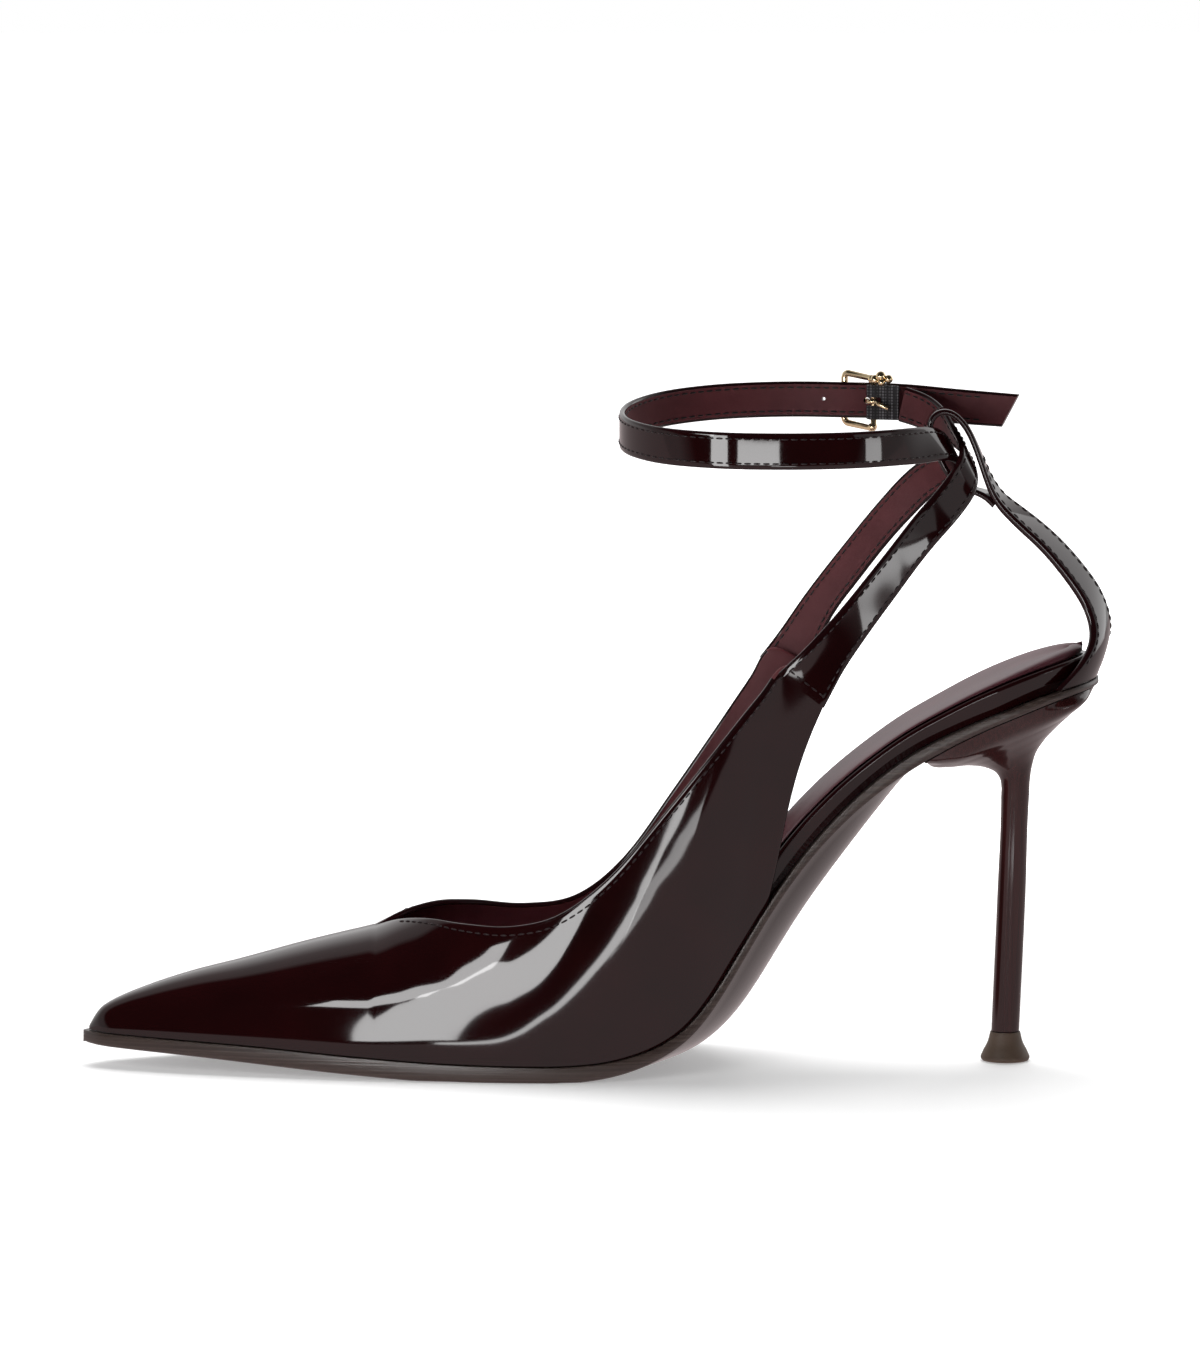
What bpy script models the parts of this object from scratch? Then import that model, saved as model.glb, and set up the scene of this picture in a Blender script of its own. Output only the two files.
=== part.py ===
"""Slingback pump for the right foot: pointed toe, cut-away quarters, crossed ankle strap, stiletto heel.

Metres, +Z up. The toe points to -X and the inner side of the foot is -Y.
"""

import math

import bmesh
import bpy
import numpy as np

MM = 0.001

# Driving sizes, in millimetres
LENGTH = 254.0
BALL_WIDTH = 73.0
HEEL_HEIGHT = 96.3
INSTEP_HEIGHT = 34.3
WALL = 1.6
SEAT_GAP = 0.3
STRAP_WIDTH = 9.0
STRAP_THICKNESS = 1.5
ELASTIC_WIDTH = 8.4
ELASTIC_THICKNESS = 0.8
STEM_FOOT_X = 101.85
TIP_HEIGHT = 7.2

# Places along the foot: x of the toe, ends of pieces as a percentage of the length
TOE = -129.5
TOE_RADIUS = 5.0
SEAT_RADIUS = 24.0
LINING_START = 3.4
SOCK_START = 6.0
SOCK_BACK_INSET = 4.0
SHELL_START = 0.55
HOLLOW_START = 2.6
THROAT = 28.75
BREAST = 82.0
SEAT_INSET = 1.2
BACK_END = 99.97

# Walls of the upper
ARCH_POWER = 2.2
STEEPEST_LEAN = 0.96
BOW_POWER = 1.4

# Rim of the footbed, and where along the foot its walls turn upright
RIM_RADIUS = 1.0
RIM_LEAN = 0.5
UPRIGHT_START = 88.0
UPRIGHT_END = 98.0
SOCK_MARGIN = 0.4

# Points across and along the pieces
ARCH_POINTS = 12
QUARTER_SECTIONS = 24
TURNED_SIDES = 20
WIRE_SIDES = 8
SLING_SECTIONS = 52
INNER_STRAP_SECTIONS = 34
ANKLE_STRAP_SECTIONS = 84

# Bottom of the last: height, half widths and sole edge, a row for each section.
# along: percent of LENGTH, rise: percent of HEEL_HEIGHT, inner and outer: percent of half BALL_WIDTH
LAST_COLUMNS = "along rise inner outer swing edge crown ledge"
LAST_ROWS = [
    (0.0, 8.8, 8, 8, -5.0, 3.0, 0, 1.2),
    (1.8, 8.6, 17, 17, -4.7, 3.1, 0, 1.3),
    (5.7, 8.3, 31, 31, -4.1, 3.3, 0, 1.3),
    (11.6, 7.8, 48, 47, -3.2, 3.6, 0, 1.3),
    (17.9, 7.1, 63, 61.5, -2.3, 4.1, 0, 1.3),
    (25.4, 5.8, 78.5, 76, -1.4, 4.3, 0, 1.3),
    (35.6, 4.3, 93, 91, -0.5, 4.4, 0, 1.3),
    (43.1, 3.9, 99.5, 98.5, 0, 4.2, 0, 1.3),
    (47.8, 4.0, 100, 100.5, 0, 4.1, 0.1, 1.3),
    (53.3, 5.6, 94, 98, 0, 3.5, 1.6, 1.3),
    (56.5, 8.2, 87, 93, 0, 2.9, 4.1, 1.2),
    (59.6, 13.3, 80, 87.5, 0, 2.4, 6.4, 1.1),
    (62.0, 20.8, 74, 82.5, 0, 2.0, 7.6, 1.0),
    (64.4, 31.0, 68.5, 77.5, 0, 1.9, 7.8, 1.0),
    (67.4, 43.9, 63, 71, 0, 1.8, 7.9, 0.9),
    (70.8, 56.3, 58, 64, 0, 1.9, 7.6, 0.9),
    (74.2, 66.5, 55.5, 59, 0, 2.2, 6.3, 0.8),
    (80.1, 80.0, 55, 56.5, 0, 2.9, 1.6, 0.8),
    (81.6, 82.7, 56, 57, 0, 3.0, 0, 0.8),
    (85.5, 88.1, 58, 58, 0, 2.6, 0, 0.8),
    (91.0, 94.3, 61.5, 61.5, 0, 2.1, 0, 0.8),
    (95.9, 98.6, 62, 62, 0, 1.8, 0, 0.8),
    (100.0, 101.0, 62, 62, 0, 1.7, 0, 0.8),
]

# Footbed and sock: distance in from the sole's edge, height of the rim, thickness of the sock
FOOTBED_COLUMNS = "along inset rim sock"
FOOTBED_ROWS = [
    (0, 3.4, 2.0, 1.0),
    (48, 3.4, 2.0, 1.0),
    (60, 3.2, 3.6, 0.8),
    (67.5, 2.9, 5.2, 0.6),
    (74, 2.6, 5.0, 0.6),
    (80, 2.6, 4.6, 0.6),
    (85, 2.6, 5.1, 0.7),
    (91, 2.6, 6.0, 1.1),
    (96, 2.6, 6.3, 2.0),
    (100, 2.6, 6.5, 2.6),
]

# Ridge of the vamp from the toe to the throat, as a percentage of INSTEP_HEIGHT
RIDGE_COLUMNS = "along rise"
RIDGE_ROWS = [
    (0.5, 26.2),
    (0.9, 32.0),
    (1.6, 39.7),
    (2.6, 45.2),
    (3.8, 49.6),
    (6.1, 56.3),
    (10.4, 66.5),
    (15.6, 75.9),
    (22.0, 88.4),
    (28.75, 100.0),
]

# Quarters: where each section leaves the sole, and its end on the topline.
# The last three rows turn round the top end, under the foot of the strap.
QUARTER_COLUMNS = "along x z half roundness bulge bow"
INNER_QUARTER_ROWS = [
    (28.75, -56.5, 34.3, 0, 1.0, 0, 0),
    (31.0, -50.5, 36.6, 5.5, 1.0, 0, 0),
    (33.3, -44.0, 37.8, 13.0, 1.0, 0, 0),
    (37.2, -34.5, 37.5, 21.6, 0.95, 0, 0),
    (41.9, -22.0, 37.5, 28.0, 0.8, 0.2, 0),
    (46.7, -9.5, 41.1, 31.5, 0.66, 0.5, 0),
    (51.4, 3.75, 51.4, 32.4, 0.54, 0.9, 0),
    (55.7, 17.0, 67.0, 32.0, 0.42, 1.2, 0),
    (59.6, 30.2, 83.3, 30.8, 0.30, 1.5, 0.3),
    (63.2, 41.0, 96.3, 28.4, 0.20, 1.6, 0.9),
    (65.2, 46.6, 102.5, 27.2, 0.17, 1.6, 1.6),
    (66.3, 51.7, 99.6, 26.8, 0.16, 1.5, 2.0),
    (67.3, 56.5, 96.6, 26.3, 0.15, 1.5, 2.4),
]
OUTER_QUARTER_ROWS = [
    (28.75, -56.5, 34.3, 0, 1.0, 0, 0),
    (31.0, -50.0, 37.2, 5.5, 1.0, 0, 0),
    (33.3, -43.0, 38.6, 11.5, 1.0, 0, 0),
    (37.2, -33.0, 38.1, 18.5, 0.97, 0, 0),
    (41.9, -19.5, 36.1, 25.0, 0.88, 0.2, 0),
    (46.7, -6.0, 37.6, 29.5, 0.74, 0.5, 0),
    (51.4, 6.5, 47.2, 32.2, 0.58, 0.9, 0),
    (55.7, 18.5, 63.4, 33.0, 0.42, 1.2, 0),
    (59.6, 30.5, 80.8, 31.8, 0.30, 1.5, 0.3),
    (63.2, 39.6, 94.4, 29.6, 0.20, 1.6, 1.2),
    (65.2, 44.2, 101.2, 28.5, 0.17, 1.6, 2.1),
    (66.3, 49.4, 98.6, 28.0, 0.16, 1.5, 2.6),
    (67.3, 54.6, 95.9, 27.3, 0.15, 1.5, 3.0),
]

# Heel below its seat: front, back and side of each ring, and how square the ring is
HEEL_COLUMNS = "front_x front_z back_x back_z side_x side_z half square"
HEEL_ROWS = [
    (82.2, 75.2, 121.8, 92.6, 101.0, 84.2, 18.6, 0.55),
    (86.0, 74.6, 118.0, 88.6, 101.5, 81.2, 14.4, 0.65),
    (91.5, 74.8, 114.3, 84.8, 102.5, 78.8, 10.4, 0.75),
    (96.0, 74.2, 111.2, 81.2, 103.3, 76.4, 7.3, 0.85),
    (99.0, 72.8, 109.0, 77.5, 103.9, 73.8, 5.2, 0.95),
    (100.3, 70.6, 107.9, 73.0, 104.1, 71.2, 4.1, 1.0),
    (100.4, 66.0, 107.5, 67.0, 103.9, 66.4, 3.7, 1.0),
    (99.65, 42.0, 106.75, 42.0, 103.2, 42.0, 3.55, 1.0),
    (98.35, 7.5, 105.35, 7.5, 101.85, 7.5, 3.5, 1.0),
]

# Turned profile of the heel tip: height and radius
TIP_ROWS = [(0, 5.8), (0.5, 6.1), (2.0, 5.7), (4.4, 4.5), (TIP_HEIGHT, 3.75)]

# Sling strap from the seat up to its folded loop, in the plane of the foot.
# twist: degrees about the strap's own line, cup: share of the seat's round that its sides follow
SLING_COLUMNS = "x y z width twist cup thick"
SLING_ROWS = [
    (123.5, 0, 97.9, 36.0, 0, 1.0, 1.6),
    (124.6, 0, 100.4, 31.0, -3, 0.98, 1.7),
    (125.6, 0, 103.4, 23.0, -9, 0.9, 1.8),
    (125.9, 0, 107.2, 15.5, -17, 0.75, 2.1),
    (124.9, 0, 111.8, 11.6, -25, 0.5, 2.2),
    (122.7, 0, 117.0, 10.4, -30, 0.2, 2.2),
    (119.5, 0, 121.6, 10.0, -31, 0, 2.1),
    (111.8, 0, 130.6, 9.6, -28, 0, 2.0),
    (104.0, 0, 137.4, 9.2, -23, 0, 2.0),
    (99.2, 0, 141.8, 9.0, -14, 0, 1.8),
    (96.5, 0, 147.0, 9.0, -7, 0, 1.5),
    (93.9, 0, 153.8, 9.0, -3, 0, 1.5),
    (90.9, 0, 159.9, 9.0, 0, 0, 1.5),
    (86.5, 0, 163.8, 9.0, 0, 0, 1.5),
    (82.4, 0, 162.6, 9.0, 0, 0, 1.5),
    (81.8, 0, 158.4, 9.0, 0, 0, 1.5),
    (84.4, 0, 152.2, 9.0, 0, 0, 1.5),
    (87.4, 0, 146.6, 9.0, 0, 0, 1.5),
    (90.5, 0, 144.3, 9.0, 0, 0, 1.5),
    (93.0, 0, 143.5, 9.0, 0, 0, 1.5),
    (94.9, 0, 143.2, 9.0, 0, 0, 1.5),
]

# Round of the seat under the sling: half its width, and its fall in z for each unit in x
SLING_SEAT_HALF = 21.7
SEAT_PITCH = 0.23
SLING_SHARES = (-1, -0.75, -0.4, 0, 0.4, 0.75, 1)

# Straps: middle line, width as a share of STRAP_WIDTH, and the lean of the strap's face in degrees
STRAP_COLUMNS = "x y z width lean"
INNER_STRAP_ROWS = [
    (49.5, -28.6, 96.6, 1.58, 0),
    (52.3, -28.4, 100.2, 1.41, 0),
    (55.1, -27.8, 103.9, 1.27, 0),
    (60.2, -26.0, 110.2, 1.14, 0),
    (69.9, -21.2, 122.2, 1.06, 0),
    (80.5, -14.8, 135.1, 1.0, -5),
    (86.8, -11.6, 142.0, 0.98, -13),
    (90.7, -8.4, 147.4, 0.94, -23),
    (91.6, -4.5, 151.7, 0.88, -29),
    (90.7, 0, 154.0, 0.88, -30),
    (89.2, 4.5, 156.1, 0.92, -30),
    (86.6, 9.7, 158.8, 1.0, -18),
    (81.6, 16.2, 162.0, 1.0, -5),
    (76.3, 19.8, 163.6, 1.0, 0),
]
ANKLE_STRAP_ROWS = [
    (46.7, 29.8, 95.4, 1.55, 0),
    (49.2, 29.6, 100.2, 1.33, 0),
    (51.4, 29.0, 104.8, 1.16, 0),
    (54.0, 28.0, 109.7, 1.05, 0),
    (63.4, 23.6, 123.2, 1.0, 0),
    (74.1, 17.1, 137.2, 1.0, 3),
    (81.2, 12.9, 145.0, 1.0, 12),
    (85.9, 8.7, 148.6, 0.97, 23),
    (88.3, 4.5, 150.8, 0.92, 30),
    (88.2, 0, 152.7, 0.88, 30),
    (86.6, -4.5, 154.7, 0.9, 30),
    (83.9, -9.0, 155.9, 0.95, 20),
    (80.0, -14.2, 156.0, 1.0, 9),
    (74.5, -20.2, 156.0, 1.0, 2),
    (64.0, -27.0, 155.8, 1.0, 0),
    (45.0, -31.0, 155.7, 1.0, 0),
    (28.0, -29.0, 155.9, 1.0, 0),
    (14.0, -21.0, 156.6, 1.0, 0),
    (7.0, -10.0, 157.8, 1.0, 0),
    (5.5, 0, 158.9, 1.0, 0),
    (7.5, 11.0, 160.4, 1.0, 0),
    (15.0, 22.0, 162.1, 1.0, 0),
    (28.0, 29.3, 163.4, 1.0, 0),
    (42.0, 31.5, 164.0, 1.0, 0),
    (54.4, 29.9, 164.2, 1.0, 0),
    (61.2, 27.55, 164.2, 1.0, 0),
    (69.75, 26.75, 164.1, 1.0, 0),
    (77.4, 24.53, 163.9, 1.0, 0),
    (88.0, 20.9, 163.2, 0.98, 0),
    (105.0, 15.5, 162.2, 0.95, 0),
]
FREE_END_SLANT = 4.0

# Buckle, in its own axes: along the strap, outward from the ankle, and up
BUCKLE_PLACE = (69.6, 26.13, 164.1)
BUCKLE_TURN = -14.0
HINGE_BAR = (0.0, -2.35)
FRONT_BAR = (-8.3, 1.3)
RAIL_HEIGHT = 6.3
RAIL_RADIUS = 0.85
BAR_RADIUS = 0.75
KNOB_RADIUS = 1.15
FRAME_CORNER = 1.3
ELASTIC_BEND = BAR_RADIUS + SEAT_GAP + ELASTIC_THICKNESS / 2
ELASTIC_INSIDE = [(6.8, -4.2), (5.0, -3.85), (3.0, -3.65)]
ELASTIC_OUTSIDE = [(1.6, -1.45), (3.2, -2.3), (5.2, -2.75)]
ELASTIC_DROP = 0.2
PRONG_RADIUS = 0.55
PRONG_BEND = BAR_RADIUS + SEAT_GAP + PRONG_RADIUS
PRONG_ROWS = [
    (-1.75, -2.0),
    (-1.95, -0.6),
    (-2.4, 1.1),
    (-3.9, 2.4),
    (-6.8, 2.95),
    (-9.7, 2.75),
]
HOLE_LENGTH = 2.6
HOLE_HEIGHT = 2.2
SLOT_HEIGHT = 2.2


def table(names, rows):
    """Columns of a table, by name."""
    return dict(zip(names.split(), np.array(rows, float).T))


LAST = table(LAST_COLUMNS, LAST_ROWS)
FOOTBED = table(FOOTBED_COLUMNS, FOOTBED_ROWS)
RIDGE = table(RIDGE_COLUMNS, RIDGE_ROWS)
INNER_QUARTER = table(QUARTER_COLUMNS, INNER_QUARTER_ROWS)
OUTER_QUARTER = table(QUARTER_COLUMNS, OUTER_QUARTER_ROWS)
HEEL = table(HEEL_COLUMNS, HEEL_ROWS)

# Sections along the foot, close together at the round ends
TOE_STATIONS = [0.02, 0.2, 0.55, 1.0, 1.7]
SEAT_START = 92.0
MIDDLE_STATIONS = np.linspace(2.6, SEAT_START, 47)
SEAT_STATIONS = [93.5, 95.0, 96.3, 97.4, 98.3, 99.0, 99.5, 99.8, BACK_END]
STATIONS = np.concatenate([TOE_STATIONS, MIDDLE_STATIONS, SEAT_STATIONS])


def stations_from(first, inset):
    """Sections from a place along the foot to the back of an outline drawn in by inset."""
    squeeze = (BACK_END - 100 * inset / LENGTH - SEAT_START) / (BACK_END - SEAT_START)
    seat = SEAT_START + (STATIONS - SEAT_START) * squeeze
    sections = np.where(STATIONS > SEAT_START, seat, STATIONS)
    return sections[sections > first]


def smooth(knots, values, at):
    """Smooth curve through values at the knots, its slopes taken from the neighbouring knots."""
    at = np.clip(at, knots[0], knots[-1])
    steps = np.diff(knots)
    rates = np.diff(values) / steps
    inner = (rates[:-1] * steps[1:] + rates[1:] * steps[:-1]) / (steps[:-1] + steps[1:])
    slopes = np.concatenate([rates[:1], inner, rates[-1:]])
    i = np.clip(np.searchsorted(knots, at, side="right") - 1, 0, len(steps) - 1)
    s = (at - knots[i]) / steps[i]
    ends = values[i] * (1 + 2 * s) * (1 - s) ** 2 + values[i + 1] * s ** 2 * (3 - 2 * s)
    return ends + steps[i] * (slopes[i] * s * (1 - s) ** 2 - slopes[i + 1] * s ** 2 * (1 - s))


def read(columns, name, along):
    """Value of one column at a place along the foot."""
    return smooth(columns["along"], columns[name], along)


def rounding(share):
    """Share of the full width inside a round end: 0 at its tip, 1 past its radius."""
    return math.sqrt(1 - (1 - min(max(share, 0), 1)) ** 2)


def feather_x(along):
    return TOE + LENGTH * along / 100


def feather_z(along):
    return HEEL_HEIGHT * read(LAST, "rise", along) / 100


def feather_normal(along):
    """Upward normal of the last's bottom, as x and z."""
    step = 0.2
    run = LENGTH * 2 * step / 100
    rise = feather_z(along + step) - feather_z(along - step)
    return np.array([-rise, run]) / math.hypot(rise, run)


def half_width(along, side, inset):
    """Half width of the sole's outline, drawn in by inset; side is -1 inner, 1 outer."""
    x = feather_x(along)
    share = read(LAST, "inner" if side < 0 else "outer", along) / 100
    width = max(share * BALL_WIDTH / 2 - inset, 0.1)
    toe = rounding((x - TOE - inset) / TOE_RADIUS)
    seat = rounding((TOE + LENGTH - inset - x) / SEAT_RADIUS)
    return width * max(toe, 0.02) * max(seat, 0.02)


def last_point(along, side, inset, height):
    """Point over the sole's outline, at a height along the normal of the last's bottom."""
    normal = feather_normal(along)
    y = read(LAST, "swing", along) + side * half_width(along, side, inset)
    return np.array([feather_x(along) + normal[0] * height, y, feather_z(along) + normal[1] * height])


def seat_point(along, side, inset, height):
    """Point of the footbed over the sole's outline; its walls turn upright towards the back."""
    normal = feather_normal(along)
    upright = min(max((along - UPRIGHT_START) / (UPRIGHT_END - UPRIGHT_START), 0), 1)
    lift = np.array([normal[0] * (1 - upright), 0, normal[1]])
    return last_point(along, side, inset, 0) + lift * height / np.linalg.norm(lift)


def across(low, high, share):
    """Point between two points, share 0 to 1."""
    return low + (high - low) * share


def material(name, colour, roughness, metallic=0.0):
    surface = bpy.data.materials.new(name)
    surface.use_nodes = True
    shader = surface.node_tree.nodes["Principled BSDF"]
    shader.inputs["Base Color"].default_value = (*colour, 1)
    shader.inputs["Roughness"].default_value = roughness
    shader.inputs["Metallic"].default_value = metallic
    return surface


def make_object(name, points, faces, surface):
    """Object with outward faces, smooth but for its edges."""
    mesh = bpy.data.meshes.new(name)
    mesh.from_pydata([tuple(p * MM) for p in points], [], faces)
    mesh.materials.append(surface)
    outward(mesh)
    mesh.shade_smooth()
    mesh.set_sharp_from_angle(angle=math.radians(35))
    item = bpy.data.objects.new(name, mesh)
    bpy.context.scene.collection.objects.link(item)
    return item


def outward(mesh):
    """Turn the faces of a closed mesh outward."""
    shell = bmesh.new()
    shell.from_mesh(mesh)
    bmesh.ops.recalc_face_normals(shell, faces=shell.faces)
    if shell.calc_volume(signed=True) < 0:
        bmesh.ops.reverse_faces(shell, faces=shell.faces)
    shell.to_mesh(mesh)
    shell.free()


def loft(rings, closed=False):
    """Points and faces of a skin over rings of equal counts, capped unless it closes on itself."""
    count = len(rings[0])
    points = [p for ring in rings for p in ring]
    faces = []
    for r in range(len(rings) if closed else len(rings) - 1):
        a = r * count
        b = (r + 1) % len(rings) * count
        for k in range(count):
            n = (k + 1) % count
            faces.append((a + k, a + n, b + n, b + k))
    if not closed:
        last = (len(rings) - 1) * count
        faces.append(tuple(reversed(range(count))))
        faces.append(tuple(range(last, last + count)))
    return points, faces


def sampled_path(columns, count):
    """Even samples of a path table: its points, their tangents and the other columns."""
    places = np.stack([columns["x"], columns["y"], columns["z"]], axis=1)
    knots = np.concatenate([[0], np.cumsum(np.linalg.norm(np.diff(places, axis=0), axis=1))])
    at = np.linspace(0, knots[-1], count)
    samples = {name: smooth(knots, values, at) for name, values in columns.items()}
    points = np.stack([samples["x"], samples["y"], samples["z"]], axis=1)
    tangents = np.gradient(points, axis=0)
    tangents /= np.linalg.norm(tangents, axis=1)[:, None]
    return points, tangents, samples


def turned(vector, axis, degrees):
    """Vector, square to the axis, turned about it."""
    angle = math.radians(degrees)
    return vector * math.cos(angle) + np.cross(axis, vector) * math.sin(angle)


def strap_rings(columns, count, thickness):
    """Rectangular sections of an upright strap along its path."""
    points, tangents, samples = sampled_path(columns, count)
    rings = []
    for point, tangent, width, lean in zip(points, tangents, samples["width"], samples["lean"]):
        up = np.array([0, 0, 1.0]) - tangent * tangent[2]
        up = turned(up / np.linalg.norm(up), tangent, lean)
        face = np.cross(tangent, up)
        edge = up * width * STRAP_WIDTH / 2
        half = face * thickness / 2
        rings.append([point - edge - half, point + edge - half, point + edge + half, point - edge + half])
    return rings


def tube_rings(points, radii, sides):
    """Round sections along a line of points."""
    tangents = np.gradient(points, axis=0)
    rings = []
    for point, tangent, radius in zip(points, tangents, radii):
        tangent = tangent / np.linalg.norm(tangent)
        first = np.cross(tangent, (0, 0, 1.0))
        if np.linalg.norm(first) < 0.3:
            first = np.cross(tangent, (1.0, 0, 0))
        first /= np.linalg.norm(first)
        second = np.cross(tangent, first)
        angles = np.arange(sides) * 2 * math.pi / sides
        rings.append([point + radius * (first * math.cos(a) + second * math.sin(a)) for a in angles])
    return rings


def outsole(surface):
    """Sole with its edge band, flat tread, toe spring and crowned waist."""
    rings = []
    for along in STATIONS:
        edge = read(LAST, "edge", along)
        crown = max(read(LAST, "crown", along), 0)
        corners = [last_point(along, side, inset, -height)
                   for side in (-1, 1)
                   for inset, height in ((0.2, 0), (0, 0.5 * edge), (0.9, edge))]
        inner_top, inner_edge, inner_low, outer_top, outer_edge, outer_low = corners
        normal = feather_normal(along)
        drop = np.array([normal[0], 0, normal[1]]) * crown
        tread = [across(outer_low, inner_low, s) - drop * (1 - (2 * s - 1) ** 2)
                 for s in (0, 0.17, 0.34, 0.5, 0.66, 0.83, 1)]
        ring = [inner_edge, inner_top, outer_top, outer_edge] + tread
        rings.append([np.array([p[0], p[1], max(p[2], 0)]) for p in ring])
    return make_object("outsole", *loft(rings), surface)


def footbed(surface):
    """Wrapped insole board on the sole, with a rounded rim."""
    rings = []
    turns = np.radians([0, 30, 60, 90])
    for along in stations_from(LINING_START, FOOTBED_ROWS[-1][1]):
        inset = read(FOOTBED, "inset", along)
        rim = read(FOOTBED, "rim", along)
        middle = SEAT_GAP + rim - RIM_RADIUS
        outline = [(inset + RIM_LEAN, SEAT_GAP)]
        outline += [(inset + RIM_RADIUS * (1 - math.cos(t)), middle + RIM_RADIUS * math.sin(t))
                    for t in turns]
        inner = [seat_point(along, -1, i, h) for i, h in outline]
        outer = [seat_point(along, 1, i, h) for i, h in outline]
        rings.append(inner + outer[::-1])
    return make_object("footbed", *loft(rings), surface)


def sock(surface):
    """Padded insole cover on the footbed, its edge rounded."""
    rings = []
    for along in stations_from(SOCK_START, SOCK_BACK_INSET):
        rim = read(FOOTBED, "rim", along)
        inset = read(FOOTBED, "inset", along) + RIM_RADIUS + SOCK_MARGIN
        base = 2 * SEAT_GAP + rim
        thick = read(FOOTBED, "sock", along)
        outline = ((inset + 0.3, base), (inset, base + 0.4 * thick), (inset + 1.0, base + 0.85 * thick),
                   (inset + 3.0, base + thick))
        inner = [seat_point(along, -1, i, h) for i, h in outline]
        outer = [seat_point(along, 1, i, h) for i, h in outline]
        rings.append(inner + outer[::-1])
    return make_object("sock", *loft(rings), surface)


def wall_line(bottom, top, apex, roundness, bulge, bow):
    """Section of the upper from the sole to its top.

    The arch is the part of a rounded vault, with its crown over the apex line, that ends at the top.
    Roundness blends it with a straight wall. The wall bulges to the side and bows towards the toe.
    """
    share = np.linspace(0, 1, ARCH_POINTS)
    lean = min(abs((top[1] - apex) / (bottom[1] - apex)), STEEPEST_LEAN)
    end = math.acos(lean ** (ARCH_POWER / 2))
    vault_rise = (np.sin(share * end) / math.sin(end)) ** (2 / ARCH_POWER)
    vault_y = apex + (bottom[1] - apex) * np.cos(share * end).clip(0) ** (2 / ARCH_POWER)
    vault_y += (top[1] - vault_y[-1]) * share
    rise = roundness * vault_rise + (1 - roundness) * share
    y = roundness * vault_y + (1 - roundness) * across(bottom[1], top[1], share)
    y += np.sign(bottom[1]) * bulge * np.sin(share * math.pi)
    x = across(bottom[0], top[0], rise) - bow * np.sin(math.pi * rise ** BOW_POWER)
    return np.stack([x, y, across(bottom[2], top[2], rise)], axis=1)


def vamp_half(along, side):
    """Half of the closed vamp's section, from the sole to the ridge."""
    bottom = last_point(along, side, read(LAST, "ledge", along), SEAT_GAP)
    swing = read(LAST, "swing", along)
    ridge = np.array([feather_x(along), swing, INSTEP_HEIGHT * read(RIDGE, "rise", along) / 100])
    return wall_line(bottom, ridge, swing, 1.0, 0.0, 0.0)


def quarter_half(along, side, columns):
    """Section of a quarter, from the sole to the topline."""
    bottom = last_point(along, side, read(LAST, "ledge", along), SEAT_GAP)
    swing = read(LAST, "swing", along)
    top = np.array([read(columns, "x", along), swing + side * read(columns, "half", along),
                    read(columns, "z", along)])
    roundness, bulge, bow = (read(columns, name, along) for name in ("roundness", "bulge", "bow"))
    return wall_line(bottom, top, swing, roundness, bulge, bow)


def upper_grid():
    """Outer skin of the upper: its points, its strips of point numbers and the numbers along the sole."""
    points = []

    def add(line):
        points.extend(line)
        return list(range(len(points) - len(line), len(points)))

    front = STATIONS[(STATIONS >= SHELL_START) & (STATIONS < THROAT)]
    vamp = []
    for along in [*front, THROAT]:
        inner = vamp_half(along, -1)
        outer = vamp_half(along, 1)
        vamp.append(add(np.concatenate([inner, outer[-2::-1]])))
    rear = np.linspace(THROAT, INNER_QUARTER["along"][-1], QUARTER_SECTIONS)
    inner_strip = [vamp[-1][:ARCH_POINTS]]
    outer_strip = [vamp[-1][:ARCH_POINTS - 2:-1]]
    for along in rear[1:]:
        inner_strip.append(add(quarter_half(along, -1, INNER_QUARTER)))
        outer_strip.append(add(quarter_half(along, 1, OUTER_QUARTER)))
    stations = {strip[0]: along for strip, along in zip(vamp, [*front, THROAT])}
    stations.update({strip[-1]: along for strip, along in zip(vamp, [*front, THROAT])})
    stations.update({strip[0]: along for strip, along in zip(inner_strip, rear)})
    stations.update({strip[0]: along for strip, along in zip(outer_strip, rear)})
    return np.array(points), vamp, inner_strip, outer_strip, stations


def strip_faces(strips, flipped=False):
    """Four-sided faces between neighbouring strips of point numbers."""
    faces = []
    for a, b in zip(strips[:-1], strips[1:]):
        for k in range(len(a) - 1):
            face = (a[k], b[k], b[k + 1], a[k + 1])
            faces.append(face[::-1] if flipped else face)
    return faces


def skin_normals(points, faces):
    """Outward direction at each point of an open skin."""
    normals = np.zeros_like(points)
    for face in faces:
        a, b, c, d = (points[v] for v in face)
        facing = np.cross(c - a, d - b)
        for v in face:
            normals[v] += facing
    return normals / np.maximum(np.linalg.norm(normals, axis=1), 1e-9)[:, None]


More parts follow.
